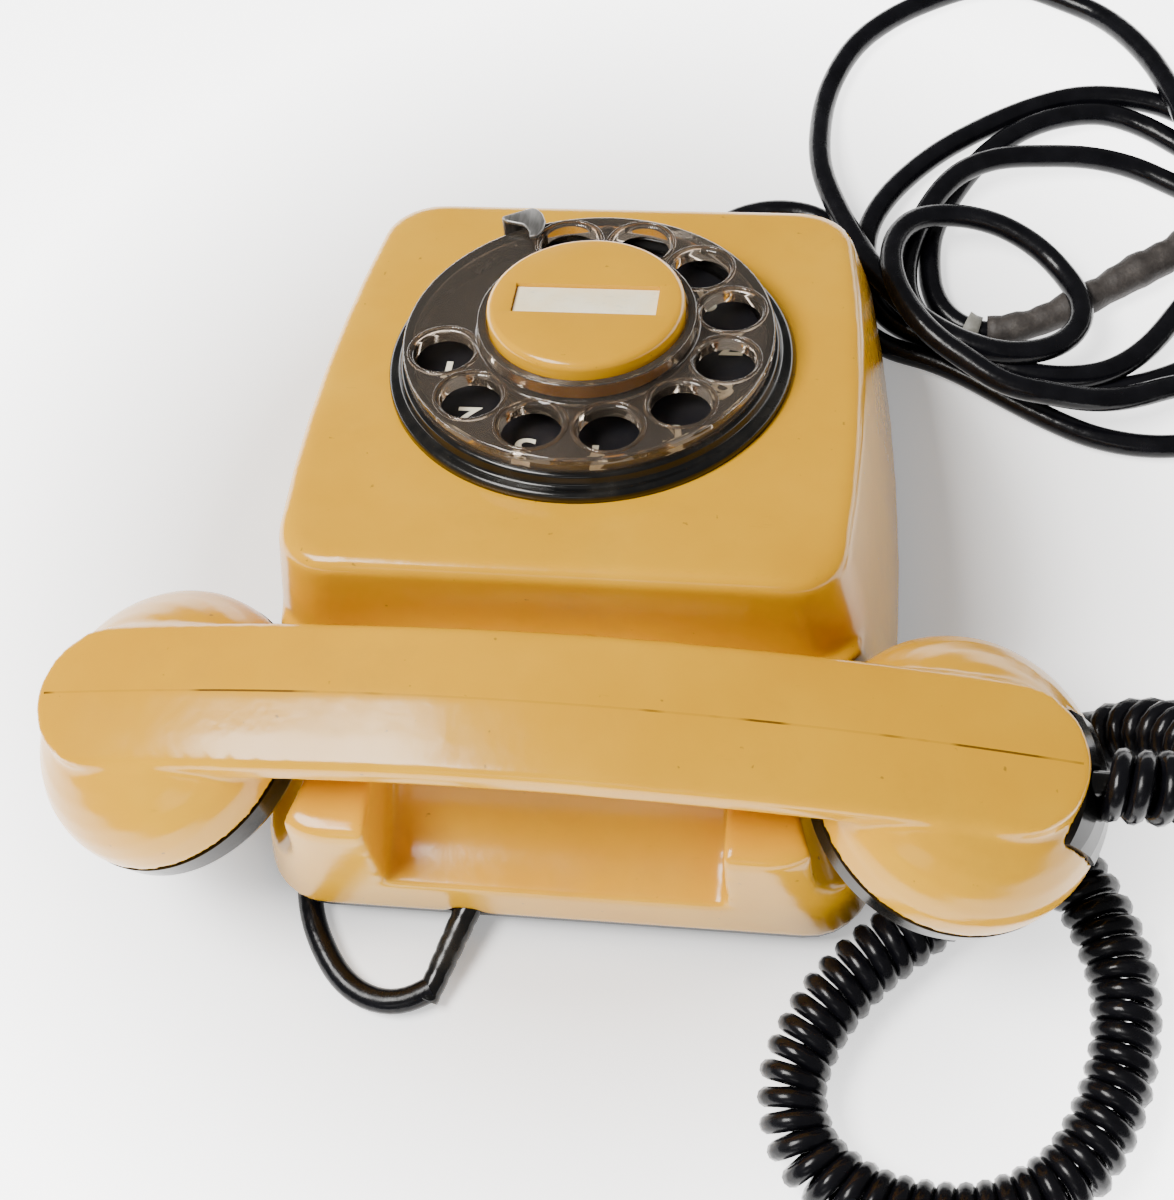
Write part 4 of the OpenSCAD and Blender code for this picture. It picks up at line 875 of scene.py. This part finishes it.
def make_stop():
    """The finger stop: a strip of sheet steel bent over the wheel into a hook."""
    bm = bmesh.new()
    shape = [(45.6, 3.9), (45.6, -4.0), (44.2, -4.9), (42.2, -5.3), (39.3, -4.9), (36.6, -3.3), (34.9, -1.0),
             (35.3, 0.7), (36.9, 0.1), (39.0, -0.1), (40.6, 0.5), (42.0, 2.0), (43.6, 3.6)]
    base_h = WHEEL_TOP + 1.2
    low = [bm.verts.new((x * MM, y * MM, base_h * MM)) for x, y in shape]
    face = bm.faces.new(low)
    extruded = bmesh.ops.extrude_face_region(bm, geom=[face])
    for vert in (v for v in extruded["geom"] if isinstance(v, bmesh.types.BMVert)):
        vert.co.z += STOP_SHEET * MM
    foot = bmesh.ops.create_cube(bm, size=1.0)
    for vert in foot["verts"]:
        x, y, z = vert.co
        vert.co = Vector(((STOP_R + x * STOP_SHEET) * MM, (y * STOP_FOOT_W) * MM,
                          ((z + 0.5) * (base_h + 0.9)) * MM))
    bmesh.ops.recalc_face_normals(bm, faces=bm.faces)
    mesh = bpy.data.meshes.new("stop")
    bm.to_mesh(mesh)
    bm.free()
    mesh.transform(DIAL_AT @ Matrix.Rotation(math.radians(STOP_ANGLE), 4, "Z"))
    piece = bpy.data.objects.new("finger_stop_hook", mesh)
    scene.collection.objects.link(piece)
    applied(piece, ("BEVEL", {"width": 0.4 * MM, "segments": 3, "limit_method": "ANGLE"}))
    finish_piece(piece, BASE, "stop_metal", replaces=["finger_stop"])


def make_digits():
    """The digits painted on the number plate, each upright to the caller and seen through its hole."""
    for k, angle in enumerate(hole_angles()):
        data = bpy.data.curves.new("digit_%d" % ((k + 1) % 10), "FONT")
        data.body = str((k + 1) % 10)
        data.align_x = "CENTER"
        data.align_y = "CENTER"
        data.size = DIGIT_SIZE * MM
        data.offset = 0.12 * MM
        data.extrude = 0.04 * MM
        digit = bpy.data.objects.new(data.name, data)
        scene.collection.objects.link(digit)
        turn = angle - math.radians(DIGIT_TURN)
        spot = Vector((DIGIT_RING * math.cos(turn), DIGIT_RING * math.sin(turn), DIGIT_HEIGHT)) * MM
        wider = Matrix.Diagonal((DIGIT_STRETCH, 1.0, 1.0, 1.0))
        digit.matrix_world = DIAL_AT @ Matrix.Translation(spot) @ wider
        finish_piece(digit, BASE, "card", INK)


make_bezel()
make_wheel()
make_collars()
make_cap()
make_stop()
make_digits()


# ---- Floor and light -----------------------------------------------------------------

# Painted light: the table's emission far from the telephone, dimmed to painted shade close round it.
GLOW_FAR = 4.2
GLOW_NEAR = 0.08


def make_stage():
    """A white table lit with painted light: it glows by its own emission, and the glow fades out close round the
    telephone as painted shade, where the table is in its shade.
    """
    bm = bmesh.new()
    bmesh.ops.create_grid(bm, x_segments=2, y_segments=2, size=3.0)
    mesh = bpy.data.meshes.new("floor")
    bm.to_mesh(mesh)
    bm.free()
    floor = bpy.data.objects.new("floor", mesh)
    floor.location.z = -0.0002
    scene.collection.objects.link(floor)
    material, tree, shader = tree_of("table")
    where = place(tree)
    tone = ramp(tree, noise(tree, where, 3, 2), [(0.3, (0.86, 0.86, 0.87)), (0.7, (0.90, 0.90, 0.90))])
    tree.links.new(tone, shader.inputs["Base Color"])
    shader.inputs["Roughness"].default_value = 0.5
    shader.inputs["Emission Color"].default_value = (1, 1, 1, 1)
    length = tree.nodes.new("ShaderNodeVectorMath")
    length.operation = "LENGTH"
    tree.links.new(where, length.inputs[0])
    # Painted shade: the table's glow drops close round the telephone, where its shadow falls.
    glow = ramp(tree, length.outputs["Value"], [(0.10, grey(GLOW_NEAR)), (0.19, grey(1.0))])
    tree.links.new(product(tree, glow, GLOW_FAR), shader.inputs["Emission Strength"])
    floor.data.materials.append(material)


def area_light(name, place_m, target, size, power, colour):
    """A soft rectangular light aimed at a spot, in metres and watts."""
    data = bpy.data.lights.new(name, "AREA")
    data.shape = "RECTANGLE"
    data.size, data.size_y = size
    data.energy = power
    data.color = colour
    light = bpy.data.objects.new(name, data)
    light.location = place_m
    light.rotation_euler = (Vector(target) - Vector(place_m)).to_track_quat("-Z", "Y").to_euler()
    scene.collection.objects.link(light)


def make_light():
    """A large window light to one side, a faint one behind and an even white surround."""
    world = bpy.data.worlds.new("studio")
    world.use_nodes = True
    world.node_tree.nodes["Background"].inputs["Color"].default_value = (1.0, 1.0, 1.0, 1)
    world.node_tree.nodes["Background"].inputs["Strength"].default_value = 0.26
    scene.world = world
    area_light("window", (0.47, 0.10, 0.95), (0, 0, 0.03), (0.5, 0.4), 22, (1.0, 0.985, 0.96))
    area_light("rear_window", (0.15, 1.10, 0.80), (0, 0, 0.05), (0.5, 0.3), 1.0, (1.0, 0.99, 0.97))


make_stage()
make_light()
